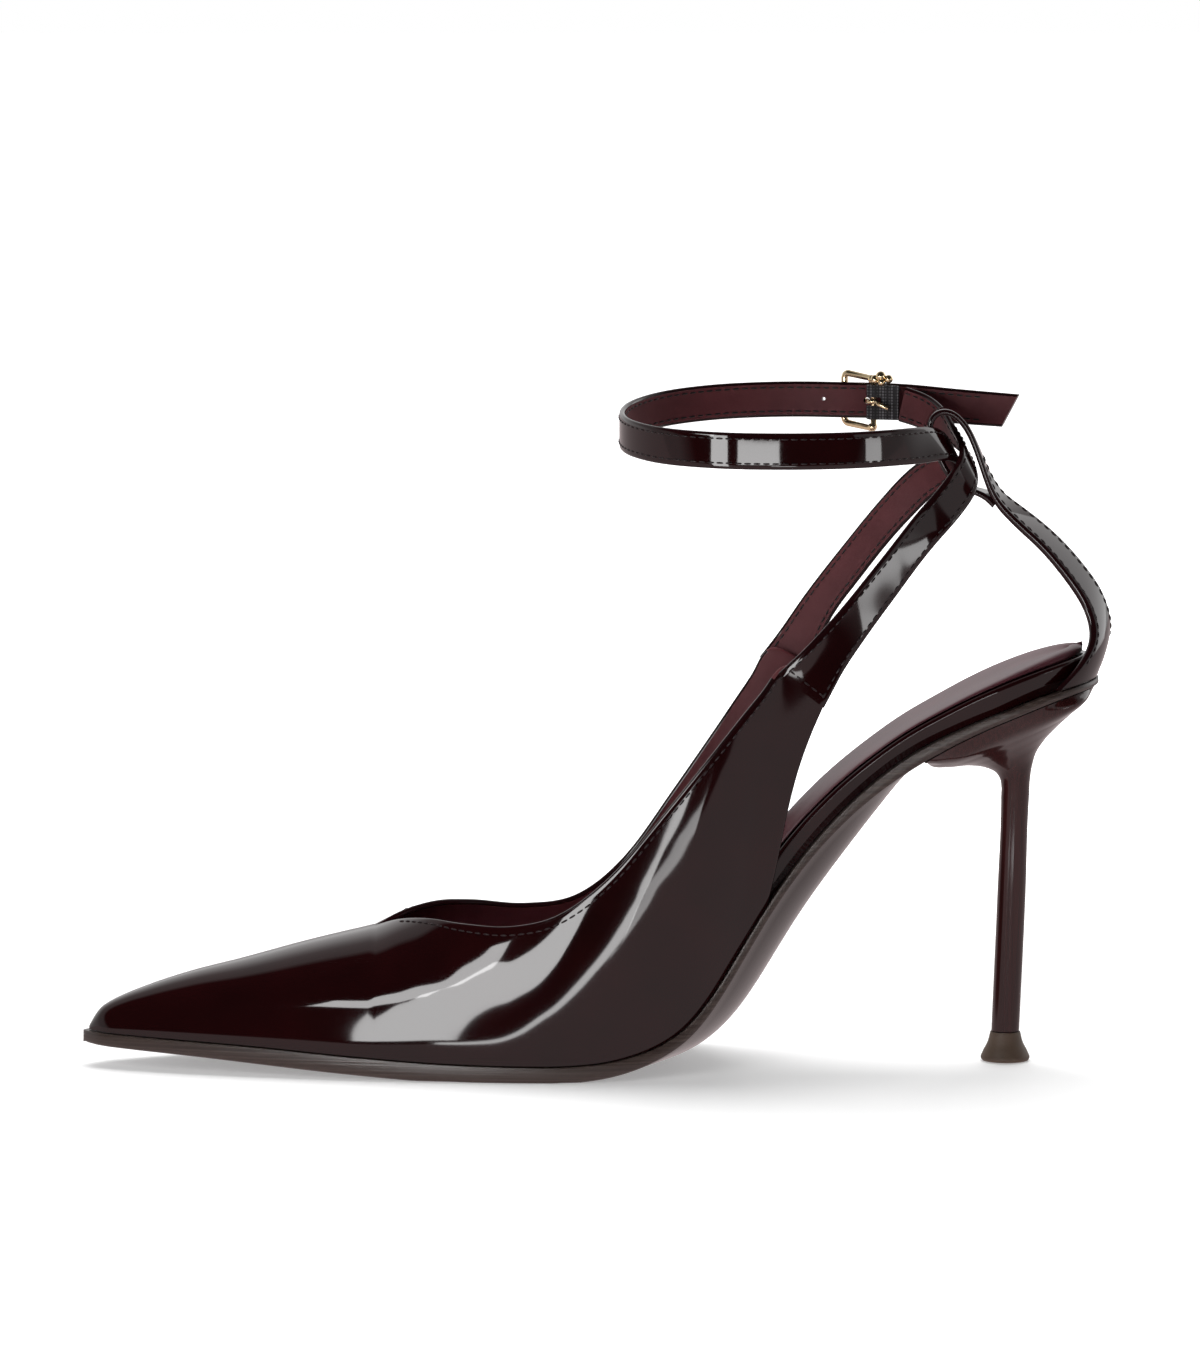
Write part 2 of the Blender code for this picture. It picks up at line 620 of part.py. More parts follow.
def upper(surface):
    """Hollow shell of vamp and quarters, open at the throat, behind the quarters and underneath."""
    points, vamp, inner_strip, outer_strip, stations = upper_grid()
    skin = strip_faces(vamp) + strip_faces(inner_strip) + strip_faces(outer_strip, flipped=True)
    normals = skin_normals(points, skin)
    for v, along in stations.items():
        base = feather_normal(along)
        base = np.array([base[0], 0, base[1]])
        normals[v] -= base * normals[v].dot(base)
        normals[v] /= np.linalg.norm(normals[v])
    lining = points - normals * WALL
    offset = len(points)

    first = next(i for i, strip in enumerate(vamp) if stations[strip[0]] >= HOLLOW_START)
    hollow = strip_faces(vamp[first:], flipped=True) + strip_faces(inner_strip, flipped=True)
    hollow += strip_faces(outer_strip)
    faces = skin + [tuple(v + offset for v in face) for face in hollow]

    feather = [strip[0] for strip in vamp[first:]] + [strip[0] for strip in inner_strip[1:]]
    faces += rim_faces(feather, offset)
    feather = [strip[-1] for strip in vamp[first:]] + [strip[0] for strip in outer_strip[1:]]
    faces += rim_faces(feather[::-1], offset)
    faces += rim_faces(inner_strip[-1], offset)
    faces += rim_faces(outer_strip[-1][::-1], offset)
    faces += rim_faces([strip[-1] for strip in inner_strip][::-1], offset)
    faces += rim_faces([strip[-1] for strip in outer_strip], offset)

    faces.append(tuple(vamp[0]))
    faces.append(tuple(v + offset for v in vamp[first][::-1]))
    toe = [strip[0] for strip in vamp[first::-1]] + [strip[-1] for strip in vamp[:first + 1]]
    faces.append(tuple(toe[::-1]) + (vamp[first][0] + offset, vamp[first][-1] + offset))

    used = sorted({v for face in faces for v in face})
    number = {v: n for n, v in enumerate(used)}
    both = np.concatenate([points, lining])
    return make_object("upper", both[used], [tuple(number[v] for v in face) for face in faces], surface)


def rim_faces(line, offset):
    """Faces that join the outer skin to the lining along a line of point numbers."""
    return [(b, a, a + offset, b + offset) for a, b in zip(line[:-1], line[1:])]


def heel(surface):
    """Stiletto heel: the seat's outline at the top, drawn in to a slim stem."""
    below = -SEAT_GAP
    seat_stations = [BREAST, *stations_from(BREAST + 1, SEAT_INSET)]
    corners = [last_point(s, 1, SEAT_INSET, below - read(LAST, "edge", s)) for s in seat_stations]
    front = np.array([corners[0][0], 0, corners[0][2]])
    half = [front, across(front, corners[0], 0.5)] + corners
    seat = half + [p * (1, -1, 1) for p in half[-1:0:-1]]
    count = len(half)
    angles = np.arange(count) * math.pi / (count - 0.5)
    rings = [seat]
    for r in range(len(HEEL["half"])):
        row = {name: values[r] for name, values in HEEL.items()}
        ring = []
        for angle in angles:
            ahead = max(math.cos(angle), 0) ** row["square"]
            behind = max(-math.cos(angle), 0) ** row["square"]
            aside = 1 - ahead - behind
            x = row["side_x"] * aside + row["front_x"] * ahead + row["back_x"] * behind
            y = row["half"] * max(math.sin(angle), 0) ** row["square"]
            z = row["side_z"] * aside + row["front_z"] * ahead + row["back_z"] * behind
            ring.append(np.array([x, y, z]))
        rings.append(ring + [p * (1, -1, 1) for p in ring[-1:0:-1]])
    points, faces = loft(rings)
    faces = [face for face in faces if len(face) == 4] + [faces[-1]]
    size = len(seat)
    faces.append((size - 1, size - 2, size - 3, 3, 2, 1, 0))
    faces += [(size - k, size - k - 1, k + 1, k) for k in range(3, count - 1)]
    return make_object("heel", points, faces, surface)


def heel_tip(surface):
    """Turned top piece, flat on the floor."""
    angles = np.arange(TURNED_SIDES) * 2 * math.pi / TURNED_SIDES
    rings = [[np.array([STEM_FOOT_X + radius * math.cos(a), radius * math.sin(a), z]) for a in angles]
             for z, radius in TIP_ROWS]
    return make_object("heel_tip", *loft(rings), surface)


def seat_round(y):
    """Distance by which the seat's back edge falls away at y from the middle, and its slope there."""
    share = y / SLING_SEAT_HALF
    root = math.sqrt(1 - share * share)
    return SEAT_RADIUS * (1 - root), SEAT_RADIUS * share / (SLING_SEAT_HALF * root)


def back_strap(surface):
    """Sling strap, wrapped round the heel at its foot and folded into a loop at its top."""
    points, tangents, samples = sampled_path(table(SLING_COLUMNS, SLING_ROWS), SLING_SECTIONS)
    rings = []
    for i, (point, tangent) in enumerate(zip(points, tangents)):
        wide = turned(np.array([0, 1.0, 0]), tangent, samples["twist"][i])
        face = np.cross(wide, tangent)
        cup = max(samples["cup"][i], 0)
        inside = []
        outside = []
        for share in SLING_SHARES:
            reach = share * samples["width"][i] / 2
            fall, slope = seat_round(reach)
            middle = point + wide * reach - np.array([1, 0, SEAT_PITCH]) * fall * cup
            out = face + wide * slope * cup
            half = out / np.linalg.norm(out) * samples["thick"][i] / 2
            inside.append(middle - half)
            outside.append(middle + half)
        rings.append(inside + outside[::-1])
    return make_object("back_strap", *loft(rings), surface)


def inner_strap(surface):
    """Strap from the inner quarter through the loop to the elastic."""
    rings = strap_rings(table(STRAP_COLUMNS, INNER_STRAP_ROWS), INNER_STRAP_SECTIONS, STRAP_THICKNESS)
    return make_object("inner_strap", *loft(rings), surface)


def buckle_point(along, out, up):
    """Point in the buckle's own axes."""
    angle = math.radians(BUCKLE_TURN)
    x = BUCKLE_PLACE[0] + along * math.cos(angle) - out * math.sin(angle)
    y = BUCKLE_PLACE[1] + along * math.sin(angle) + out * math.cos(angle)
    return np.array([x, y, BUCKLE_PLACE[2] + up])


def cut_box(item, low, high):
    """Cut a box, given in the buckle's axes, out of an object."""
    corners = [buckle_point(a, o, u) for u in (low[2], high[2])
               for a, o in ((low[0], low[1]), (high[0], low[1]), (high[0], high[1]), (low[0], high[1]))]
    cutter = make_object(item.name + "_cutter", *loft([corners[:4], corners[4:]]), item.data.materials[0])
    cutter.hide_render = True
    cutter.display_type = "WIRE"
    cut = item.modifiers.new("hole", "BOOLEAN")
    cut.operation = "DIFFERENCE"
    cut.solver = "EXACT"
    cut.object = cutter
    return cutter


def ankle_strap(surface):
    """Strap from the outer quarter through the loop and round the ankle, with its hole and slanted end."""
    rings = strap_rings(table(STRAP_COLUMNS, ANKLE_STRAP_ROWS), ANKLE_STRAP_SECTIONS, STRAP_THICKNESS)
    back = rings[-2][0] - rings[-1][0]
    back /= np.linalg.norm(back)
    rings[-1][0] = rings[-1][0] + back * FREE_END_SLANT
    rings[-1][3] = rings[-1][3] + back * FREE_END_SLANT
    rings.pop(-2)
    item = make_object("ankle_strap", *loft(rings), surface)
    hole = PRONG_ROWS[1][0] - 0.2
    low = (hole - HOLE_LENGTH / 2, -3.0, -HOLE_HEIGHT / 2)
    high = (hole + HOLE_LENGTH / 2, 3.0, HOLE_HEIGHT / 2)
    return item, cut_box(item, low, high)


def elastic_tab(surface):
    """Elastic from the inner strap's end, folded round the buckle's bar."""
    turns = np.radians(np.linspace(-80, -280, 9))
    fold = np.stack([np.cos(turns), np.sin(turns)], axis=1) * ELASTIC_BEND + HINGE_BAR
    plan = np.concatenate([ELASTIC_INSIDE, fold, ELASTIC_OUTSIDE])
    ways = np.gradient(plan, axis=0)
    ways /= np.linalg.norm(ways, axis=1)[:, None]
    rings = []
    for place, way in zip(plan, ways):
        side = np.array([-way[1], way[0]]) * ELASTIC_THICKNESS / 2
        ring = [buckle_point(*(place + s * side), u * ELASTIC_WIDTH / 2 - ELASTIC_DROP)
                for s, u in ((-1, -1), (1, -1), (1, 1), (-1, 1))]
        rings.append(ring)
    item = make_object("elastic_tab", *loft(rings), surface)
    reach = ELASTIC_BEND + ELASTIC_THICKNESS
    low = (-reach, HINGE_BAR[1] - reach, -SLOT_HEIGHT / 2)
    high = (2.2, HINGE_BAR[1] + reach, SLOT_HEIGHT / 2)
    return item, cut_box(item, low, high)


def buckle_frame(surface):
    """Wire frame: front bar, two rails, and a thinner hinge bar between two knobs."""
    hinge = np.array(HINGE_BAR)
    front = np.array(FRONT_BAR)
    span = np.linalg.norm(front - hinge)
    corner = FRAME_CORNER
    half = RAIL_HEIGHT
    outline = []
    for u, v, start in ((span, half, 0), (0, half, 90), (0, -half, 180), (span, -half, 270)):
        centre_u = u - corner if u else corner
        centre_v = v - math.copysign(corner, v)
        for turn in (0, 30, 60, 90):
            angle = math.radians(start + turn)
            radius = RAIL_RADIUS if u else (KNOB_RADIUS if turn in (30, 60) else BAR_RADIUS)
            along = centre_u + corner * math.cos(angle)
            up = centre_v + corner * math.sin(angle)
            outline.append((along, up, radius))
    line = np.array([buckle_point(*(hinge + (front - hinge) * u / span), v) for u, v, r in outline])
    radii = [r for u, v, r in outline]
    count = len(line)
    wide = buckle_point(*(front - hinge), 0) - buckle_point(0, 0, 0)
    plane_normal = np.cross(wide / span, (0, 0, 1.0))
    angles = np.arange(WIRE_SIDES) * 2 * math.pi / WIRE_SIDES
    rings = []
    for i in range(count):
        way = line[(i + 1) % count] - line[i - 1]
        side = np.cross(plane_normal, way / np.linalg.norm(way))
        spokes = [side * math.cos(a) + plane_normal * math.sin(a) for a in angles]
        rings.append([line[i] + radii[i] * spoke for spoke in spokes])
    return make_object("buckle_frame", *loft(rings, closed=True), surface)


def buckle_prong(surface):
    """Tongue hooked on the hinge bar, through the strap's hole, resting over the front bar."""
    turns = np.radians(np.linspace(-30, -180, 7))
    hook = np.stack([np.cos(turns), np.sin(turns)], axis=1) * PRONG_BEND + HINGE_BAR
    places = np.concatenate([hook, PRONG_ROWS])
    line = np.array([buckle_point(a, o, 0) for a, o in places])
    radii = [PRONG_RADIUS] * (len(line) - 1) + [0.6 * PRONG_RADIUS]
    return make_object("buckle_prong", *loft(tube_rings(line, radii, WIRE_SIDES)), surface)


def centre_on_floor(items):
    """Carry everything on one empty, so that the origin is at the middle of its footprint."""
    corners = np.array([v.co for item in items for v in item.data.vertices])
    low = corners.min(axis=0)
    high = corners.max(axis=0)
    carrier = bpy.data.objects.new("shoe", None)
    bpy.context.scene.collection.objects.link(carrier)
    carrier.location = (-(low[0] + high[0]) / 2, -(low[1] + high[1]) / 2, -low[2])
    for item in items:
        item.parent = carrier


def main():
    for item in list(bpy.data.objects):
        bpy.data.objects.remove(item)
    patent = material("patent_leather", (0.030, 0.006, 0.008), 0.08)
    covered = material("covered_heel", (0.036, 0.010, 0.011), 0.15)
    edge = material("sole_leather", (0.045, 0.030, 0.024), 0.35)
    lining = material("lining_leather", (0.070, 0.018, 0.022), 0.55)
    rubber = material("top_piece_rubber", (0.065, 0.048, 0.034), 0.6)
    elastic = material("woven_elastic", (0.020, 0.021, 0.023), 0.8)
    gold = material("pale_gold_metal", (0.83, 0.66, 0.40), 0.2, 1.0)

    ankle, hole_cutter = ankle_strap(patent)
    tab, slot_cutter = elastic_tab(elastic)
    items = [
        outsole(edge), footbed(patent), sock(lining), upper(patent), heel(covered), heel_tip(rubber),
        back_strap(patent), inner_strap(patent), ankle, tab, buckle_frame(gold), buckle_prong(gold),
    ]
    centre_on_floor(items + [hole_cutter, slot_cutter])


main()
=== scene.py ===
"""Looks of the slingback pump: patent leather, lining, edges, stitches, buckle, studio and camera.

The shapes follow the same tables and rules as the solids, in millimetres, with finer sections.
"""

import math

import bmesh
import bpy
import mathutils
import numpy as np
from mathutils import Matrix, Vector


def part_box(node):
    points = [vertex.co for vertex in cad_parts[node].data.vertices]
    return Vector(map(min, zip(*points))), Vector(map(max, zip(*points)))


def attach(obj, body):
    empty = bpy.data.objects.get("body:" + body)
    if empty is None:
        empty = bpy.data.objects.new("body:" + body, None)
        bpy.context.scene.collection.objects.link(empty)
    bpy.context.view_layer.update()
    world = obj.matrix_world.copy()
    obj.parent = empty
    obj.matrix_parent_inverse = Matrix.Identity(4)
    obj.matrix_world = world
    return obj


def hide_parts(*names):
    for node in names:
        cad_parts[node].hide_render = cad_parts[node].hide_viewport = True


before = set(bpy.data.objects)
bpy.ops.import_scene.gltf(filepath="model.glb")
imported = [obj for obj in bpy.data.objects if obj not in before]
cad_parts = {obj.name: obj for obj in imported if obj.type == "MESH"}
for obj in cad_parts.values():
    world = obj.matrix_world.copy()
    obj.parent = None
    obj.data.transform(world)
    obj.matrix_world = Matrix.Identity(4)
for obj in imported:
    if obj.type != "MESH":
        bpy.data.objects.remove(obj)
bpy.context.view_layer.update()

MM = 0.001

# Driving sizes, in millimetres
LENGTH = 254.0
BALL_WIDTH = 73.0
HEEL_HEIGHT = 96.3
INSTEP_HEIGHT = 34.3
WALL = 1.6
SEAT_GAP = 0.3
STRAP_WIDTH = 9.0
STRAP_THICKNESS = 1.5
ELASTIC_WIDTH = 8.4
ELASTIC_THICKNESS = 0.8
STEM_FOOT_X = 101.85
TIP_HEIGHT = 7.2

# Places along the foot: x of the toe, ends of pieces as a percentage of the length
TOE = -129.5
TOE_RADIUS = 5.0
SEAT_RADIUS = 24.0
LINING_START = 3.4
SOCK_START = 6.0
SOCK_BACK_INSET = 4.0
SHELL_START = 0.5
HOLLOW_START = 2.6
THROAT = 28.75
BREAST = 82.0
SEAT_INSET = 1.2
SEAT_START = 92.0
FIRST_STATION = 0.02
TOE_REACH = 2.6
MIDDLE_START = 2.8
BACK_END = 99.97

# Shoe millimetres to the frame: the toe and the heel tip give the place of the drawn origin
SHIFT = np.array([
    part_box("outsole")[0][0] / MM - (TOE + LENGTH * FIRST_STATION / 100),
    (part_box("heel_tip")[0][1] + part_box("heel_tip")[1][1]) / 2 / MM,
    0.0,
])

# Surfaces of the upper and of a strap, by their numbers
OUTSIDE = 0
INSIDE = 1
EDGE = 2

# Fineness: samples of a table, points and sections of a piece, steps between sections in percent,
# reach of the easing along a path, and angle of a crease
TABLE_SAMPLES = 1200
ARCH_POINTS = 44
QUARTER_SECTIONS = 150
RIM_LINES = 8
INNER_RINGS = 150
ANKLE_RINGS = 400
SLING_RINGS = 226
PRONG_RINGS = 70
SECTION_GAP = 0.2
BREAST_STEP = 0.5
PATH_EASE = 2.2
CREASE = 40

# Form of the sections: sole, upper, footbed, sock and straps, in millimetres or as shares
LEAST_WIDTH = 0.1
LEAST_SHARE = 0.02
ARCH_POWER = 2.2
STEEPEST_LEAN = 0.96
BOW_POWER = 1.4
RIM_RADIUS = 1.0
RIM_LEAN = 1.1
UPRIGHT_START = 88.0
UPRIGHT_END = 98.0
RIM_BULGE = 0.4
SOCK_MARGIN = 0.4
SOCK_TUCK = 0.3
SOCK_ROLL = 3.0
SOCK_EDGE = 0.2
SOCK_SQUARENESS = 0.8
SOCK_DIP = 0.35
STRAP_ROUNDING = 0.45
STRAP_CROWN = 0.03
SLING_CROWN = 0.08

# Edge of the sole from the top down: distance in, and share of the edge's height
SOLE_BAND = [(0.2, 0.0), (0.03, 0.12), (0.0, 0.5), (0.05, 0.72), (0.3, 0.9), (0.9, 1.0)]

# Bottom of the last. along: percent of LENGTH, rise: percent of HEEL_HEIGHT,
# inner and outer: percent of half BALL_WIDTH
LAST_COLUMNS = "along rise inner outer swing edge crown ledge"
LAST_ROWS = [
    (0.0, 8.8, 8, 8, -5.0, 3.0, 0, 1.2),
    (1.8, 8.6, 17, 17, -4.7, 3.1, 0, 1.3),
    (5.7, 8.3, 31, 31, -4.1, 3.3, 0, 1.3),
    (11.6, 7.8, 48, 47, -3.2, 3.6, 0, 1.3),
    (17.9, 7.1, 63, 61.5, -2.3, 4.1, 0, 1.3),
    (25.4, 5.8, 78.5, 76, -1.4, 4.3, 0, 1.3),
    (35.6, 4.3, 93, 91, -0.5, 4.4, 0, 1.3),
    (43.1, 3.9, 99.5, 98.5, 0, 4.2, 0, 1.3),
    (47.8, 4.0, 100, 100.5, 0, 4.1, 0.1, 1.3),
    (53.3, 5.6, 94, 98, 0, 3.5, 1.6, 1.3),
    (56.5, 8.2, 87, 93, 0, 2.9, 4.1, 1.2),
    (59.6, 13.3, 80, 87.5, 0, 2.4, 6.4, 1.1),
    (62.0, 20.8, 74, 82.5, 0, 2.0, 7.6, 1.0),
    (64.4, 31.0, 68.5, 77.5, 0, 1.9, 7.8, 1.0),
    (67.4, 43.9, 63, 71, 0, 1.8, 7.9, 0.9),
    (70.8, 56.3, 58, 64, 0, 1.9, 7.6, 0.9),
    (74.2, 66.5, 55.5, 59, 0, 2.2, 6.3, 0.8),
    (80.1, 80.0, 55, 56.5, 0, 2.9, 1.6, 0.8),
    (81.6, 82.7, 56, 57, 0, 3.0, 0, 0.8),
    (85.5, 88.1, 58, 58, 0, 2.6, 0, 0.8),
    (91.0, 94.3, 61.5, 61.5, 0, 2.1, 0, 0.8),
    (95.9, 98.6, 62, 62, 0, 1.8, 0, 0.8),
    (100.0, 101.0, 62, 62, 0, 1.7, 0, 0.8),
]

# Footbed and sock: distance in from the sole's edge, height of the rim, thickness of the sock
FOOTBED_COLUMNS = "along inset rim sock"
FOOTBED_ROWS = [
    (0, 3.4, 2.0, 1.0),
    (48, 3.4, 2.0, 1.0),
    (60, 3.2, 3.6, 0.8),
    (67.5, 2.9, 5.2, 0.6),
    (74, 2.6, 5.0, 0.6),
    (80, 2.6, 4.6, 0.6),
    (85, 2.6, 5.1, 0.7),
    (91, 2.6, 6.0, 1.1),
    (96, 2.6, 6.3, 2.0),
    (100, 2.6, 6.5, 2.6),
]

# Ridge of the vamp from the toe to the throat, as a percentage of INSTEP_HEIGHT
RIDGE_COLUMNS = "along rise"
RIDGE_ROWS = [
    (0.5, 26.2),
    (0.9, 32.0),
    (1.6, 39.7),
    (2.6, 45.2),
    (3.8, 49.6),
    (6.1, 56.3),
    (10.4, 66.5),
    (15.6, 75.9),
    (22.0, 88.4),
    (28.75, 100.0),
]

# Quarters: where each section leaves the sole, and its end on the topline
QUARTER_COLUMNS = "along x z half roundness bulge bow"
INNER_QUARTER_ROWS = [
    (28.75, -56.5, 34.3, 0, 1.0, 0, 0),
    (31.0, -50.5, 36.6, 5.5, 1.0, 0, 0),
    (33.3, -44.0, 37.8, 13.0, 1.0, 0, 0),
    (37.2, -34.5, 37.5, 21.6, 0.95, 0, 0),
    (41.9, -22.0, 37.5, 28.0, 0.8, 0.2, 0),
    (46.7, -9.5, 41.1, 31.5, 0.66, 0.5, 0),
    (51.4, 3.75, 51.4, 32.4, 0.54, 0.9, 0),
    (55.7, 17.0, 67.0, 32.0, 0.42, 1.2, 0),
    (59.6, 30.2, 83.3, 30.8, 0.30, 1.5, 0.3),
    (63.2, 41.0, 96.3, 28.4, 0.20, 1.6, 0.9),
    (65.2, 46.6, 102.5, 27.2, 0.17, 1.6, 1.6),
    (66.3, 51.7, 99.6, 26.8, 0.16, 1.5, 2.0),
    (67.3, 56.5, 96.6, 26.3, 0.15, 1.5, 2.4),
]
OUTER_QUARTER_ROWS = [
    (28.75, -56.5, 34.3, 0, 1.0, 0, 0),
    (31.0, -50.0, 37.2, 5.5, 1.0, 0, 0),
    (33.3, -43.0, 38.6, 11.5, 1.0, 0, 0),
    (37.2, -33.0, 38.1, 18.5, 0.97, 0, 0),
    (41.9, -19.5, 36.1, 25.0, 0.88, 0.2, 0),
    (46.7, -6.0, 37.6, 29.5, 0.74, 0.5, 0),
    (51.4, 6.5, 47.2, 32.2, 0.58, 0.9, 0),
    (55.7, 18.5, 63.4, 33.0, 0.42, 1.2, 0),
    (59.6, 30.5, 80.8, 31.8, 0.30, 1.5, 0.3),
    (63.2, 39.6, 94.4, 29.6, 0.20, 1.6, 1.2),
    (65.2, 44.2, 101.2, 28.5, 0.17, 1.6, 2.1),
    (66.3, 49.4, 98.6, 28.0, 0.16, 1.5, 2.6),
    (67.3, 54.6, 95.9, 27.3, 0.15, 1.5, 3.0),
]

# Heel below its seat: front, back and side of each ring, how square the ring is, and the neck's ring
HEEL_COLUMNS = "front_x front_z back_x back_z side_x side_z half square"
HEEL_NECK = 6
HEEL_ROWS = [
    (82.2, 75.2, 121.8, 92.6, 101.0, 84.2, 18.6, 0.55),
    (86.0, 74.6, 118.0, 88.6, 101.5, 81.2, 14.4, 0.65),
    (91.5, 74.8, 114.3, 84.8, 102.5, 78.8, 10.4, 0.75),
    (96.0, 74.2, 111.2, 81.2, 103.3, 76.4, 7.3, 0.85),
    (99.0, 72.8, 109.0, 77.5, 103.9, 73.8, 5.2, 0.95),
    (100.3, 70.6, 107.9, 73.0, 104.1, 71.2, 4.1, 1.0),
    (100.4, 66.0, 107.5, 67.0, 103.9, 66.4, 3.7, 1.0),
    (99.65, 42.0, 106.75, 42.0, 103.2, 42.0, 3.55, 1.0),
    (98.35, 7.5, 105.35, 7.5, 101.85, 7.5, 3.5, 1.0),
]

# Turned profile of the heel tip: height and radius
TIP_ROWS = [(0, 5.8), (0.5, 6.1), (2.0, 5.7), (4.4, 4.5), (TIP_HEIGHT, 3.75)]

# Sling strap from the seat up to its folded loop
SLING_COLUMNS = "x y z width twist cup thick"
SLING_ROWS = [
    (123.5, 0, 97.9, 36.0, 0, 1.0, 1.6),
    (124.6, 0, 100.4, 31.0, -3, 0.98, 1.7),
    (125.6, 0, 103.4, 23.0, -9, 0.9, 1.8),
    (125.9, 0, 107.2, 15.5, -17, 0.75, 2.1),
    (124.9, 0, 111.8, 11.6, -25, 0.5, 2.2),
    (122.7, 0, 117.0, 10.4, -30, 0.2, 2.2),
    (119.5, 0, 121.6, 10.0, -31, 0, 2.1),
    (111.8, 0, 130.6, 9.6, -28, 0, 2.0),
    (104.0, 0, 137.4, 9.2, -23, 0, 2.0),
    (99.2, 0, 141.8, 9.0, -14, 0, 1.8),
    (96.5, 0, 147.0, 9.0, -7, 0, 1.5),
    (93.9, 0, 153.8, 9.0, -3, 0, 1.5),
    (90.9, 0, 159.9, 9.0, 0, 0, 1.5),
    (86.5, 0, 163.8, 9.0, 0, 0, 1.5),
    (82.4, 0, 162.6, 9.0, 0, 0, 1.5),
    (81.8, 0, 158.4, 9.0, 0, 0, 1.5),
    (84.4, 0, 152.2, 9.0, 0, 0, 1.5),
    (87.4, 0, 146.6, 9.0, 0, 0, 1.5),
    (90.5, 0, 144.3, 9.0, 0, 0, 1.5),
    (93.0, 0, 143.5, 9.0, 0, 0, 1.5),
    (94.9, 0, 143.2, 9.0, 0, 0, 1.5),
]

# Round of the seat under the sling: half its width, and its fall in z for each unit in x
SLING_SEAT_HALF = 21.7
SEAT_PITCH = 0.23

# Straps: middle line, width as a share of STRAP_WIDTH, and the lean of the strap's face in degrees
STRAP_COLUMNS = "x y z width lean"
INNER_STRAP_ROWS = [
    (49.5, -28.6, 96.6, 1.58, 0),
    (52.3, -28.4, 100.2, 1.41, 0),
    (55.1, -27.8, 103.9, 1.27, 0),
    (60.2, -26.0, 110.2, 1.14, 0),
    (69.9, -21.2, 122.2, 1.06, 0),
    (80.5, -14.8, 135.1, 1.0, -5),
    (86.8, -11.6, 142.0, 0.98, -13),
    (90.7, -8.4, 147.4, 0.94, -23),
    (91.6, -4.5, 151.7, 0.88, -29),
    (90.7, 0, 154.0, 0.88, -30),
    (89.2, 4.5, 156.1, 0.92, -30),
    (86.6, 9.7, 158.8, 1.0, -18),
    (81.6, 16.2, 162.0, 1.0, -5),
    (76.3, 19.8, 163.6, 1.0, 0),
]
ANKLE_STRAP_ROWS = [
    (46.7, 29.8, 95.4, 1.55, 0),
    (49.2, 29.6, 100.2, 1.33, 0),
    (51.4, 29.0, 104.8, 1.16, 0),
    (54.0, 28.0, 109.7, 1.05, 0),
    (63.4, 23.6, 123.2, 1.0, 0),
    (74.1, 17.1, 137.2, 1.0, 3),
    (81.2, 12.9, 145.0, 1.0, 12),
    (85.9, 8.7, 148.6, 0.97, 23),
    (88.3, 4.5, 150.8, 0.92, 30),
    (88.2, 0, 152.7, 0.88, 30),
    (86.6, -4.5, 154.7, 0.9, 30),
    (83.9, -9.0, 155.9, 0.95, 20),
    (80.0, -14.2, 156.0, 1.0, 9),
    (74.5, -20.2, 156.0, 1.0, 2),
    (64.0, -27.0, 155.8, 1.0, 0),
    (45.0, -31.0, 155.7, 1.0, 0),
    (28.0, -29.0, 155.9, 1.0, 0),
    (14.0, -21.0, 156.6, 1.0, 0),
    (7.0, -10.0, 157.8, 1.0, 0),
    (5.5, 0, 158.9, 1.0, 0),
    (7.5, 11.0, 160.4, 1.0, 0),
    (15.0, 22.0, 162.1, 1.0, 0),
    (28.0, 29.3, 163.4, 1.0, 0),
    (42.0, 31.5, 164.0, 1.0, 0),
    (54.4, 29.9, 164.2, 1.0, 0),
    (61.2, 27.55, 164.2, 1.0, 0),
    (69.75, 26.75, 164.1, 1.0, 0),
    (77.4, 24.53, 163.9, 1.0, 0),
    (88.0, 20.9, 163.2, 0.98, 0),
    (105.0, 15.5, 162.2, 0.95, 0),
]
FREE_END_SLANT = 4.0
SLANT_RINGS = 14

# Buckle, in its own axes: along the strap, outward from the ankle, and up
BUCKLE_PLACE = (69.6, 26.13, 164.1)
BUCKLE_TURN = -14.0
HINGE_BAR = (0.0, -2.35)
FRONT_BAR = (-8.3, 1.3)
RAIL_HEIGHT = 6.3
RAIL_RADIUS = 0.85
BAR_RADIUS = 0.75
KNOB_RADIUS = 1.15
FRAME_CORNER = 1.3
FRAME_TILT = 0.14
ELASTIC_BEND = BAR_RADIUS + SEAT_GAP + ELASTIC_THICKNESS / 2
ELASTIC_INSIDE = [(6.8, -4.2), (5.0, -3.85), (3.0, -3.65)]
ELASTIC_OUTSIDE = [(1.6, -1.45), (3.2, -2.3), (5.2, -2.75)]
ELASTIC_DROP = 0.2
PRONG_RADIUS = 0.55
PRONG_BEND = BAR_RADIUS + SEAT_GAP + PRONG_RADIUS
PRONG_ROWS = [
    (-1.75, -2.0),
    (-1.95, -0.6),
    (-2.4, 1.1),
    (-3.9, 2.4),
    (-6.8, 2.95),
    (-9.7, 2.75),
]
PRONG_TAIL = [(4.3, -5.1, -1.5), (3.2, -5.15, -1.1), (2.0, -5.0, -0.6)]
PRONG_TAPER = 1.2
PRONG_BLUNT = 0.08
PRONG_TIP = 0.3
SLOT_HEIGHT = 2.2
SLOT_END = 2.2

# Section of the elastic, as shares of half its thickness and half its width
ELASTIC_SECTION = [
    (-1, -1), (0, -1.04), (1, -1), (1, -0.5), (1, 0),
    (1, 0.5), (1, 1), (0, 1.04), (-1, 1), (-1, 0),
]

# Round holes of the ankle strap, the prong's and a spare one: place along, height and radius
STRAP_HOLES = [(PRONG_ROWS[1][0] - 0.2, 0.0, 0.8), (-13.2, 0.3, 0.45)]
CUTTER_REACH = 3.0

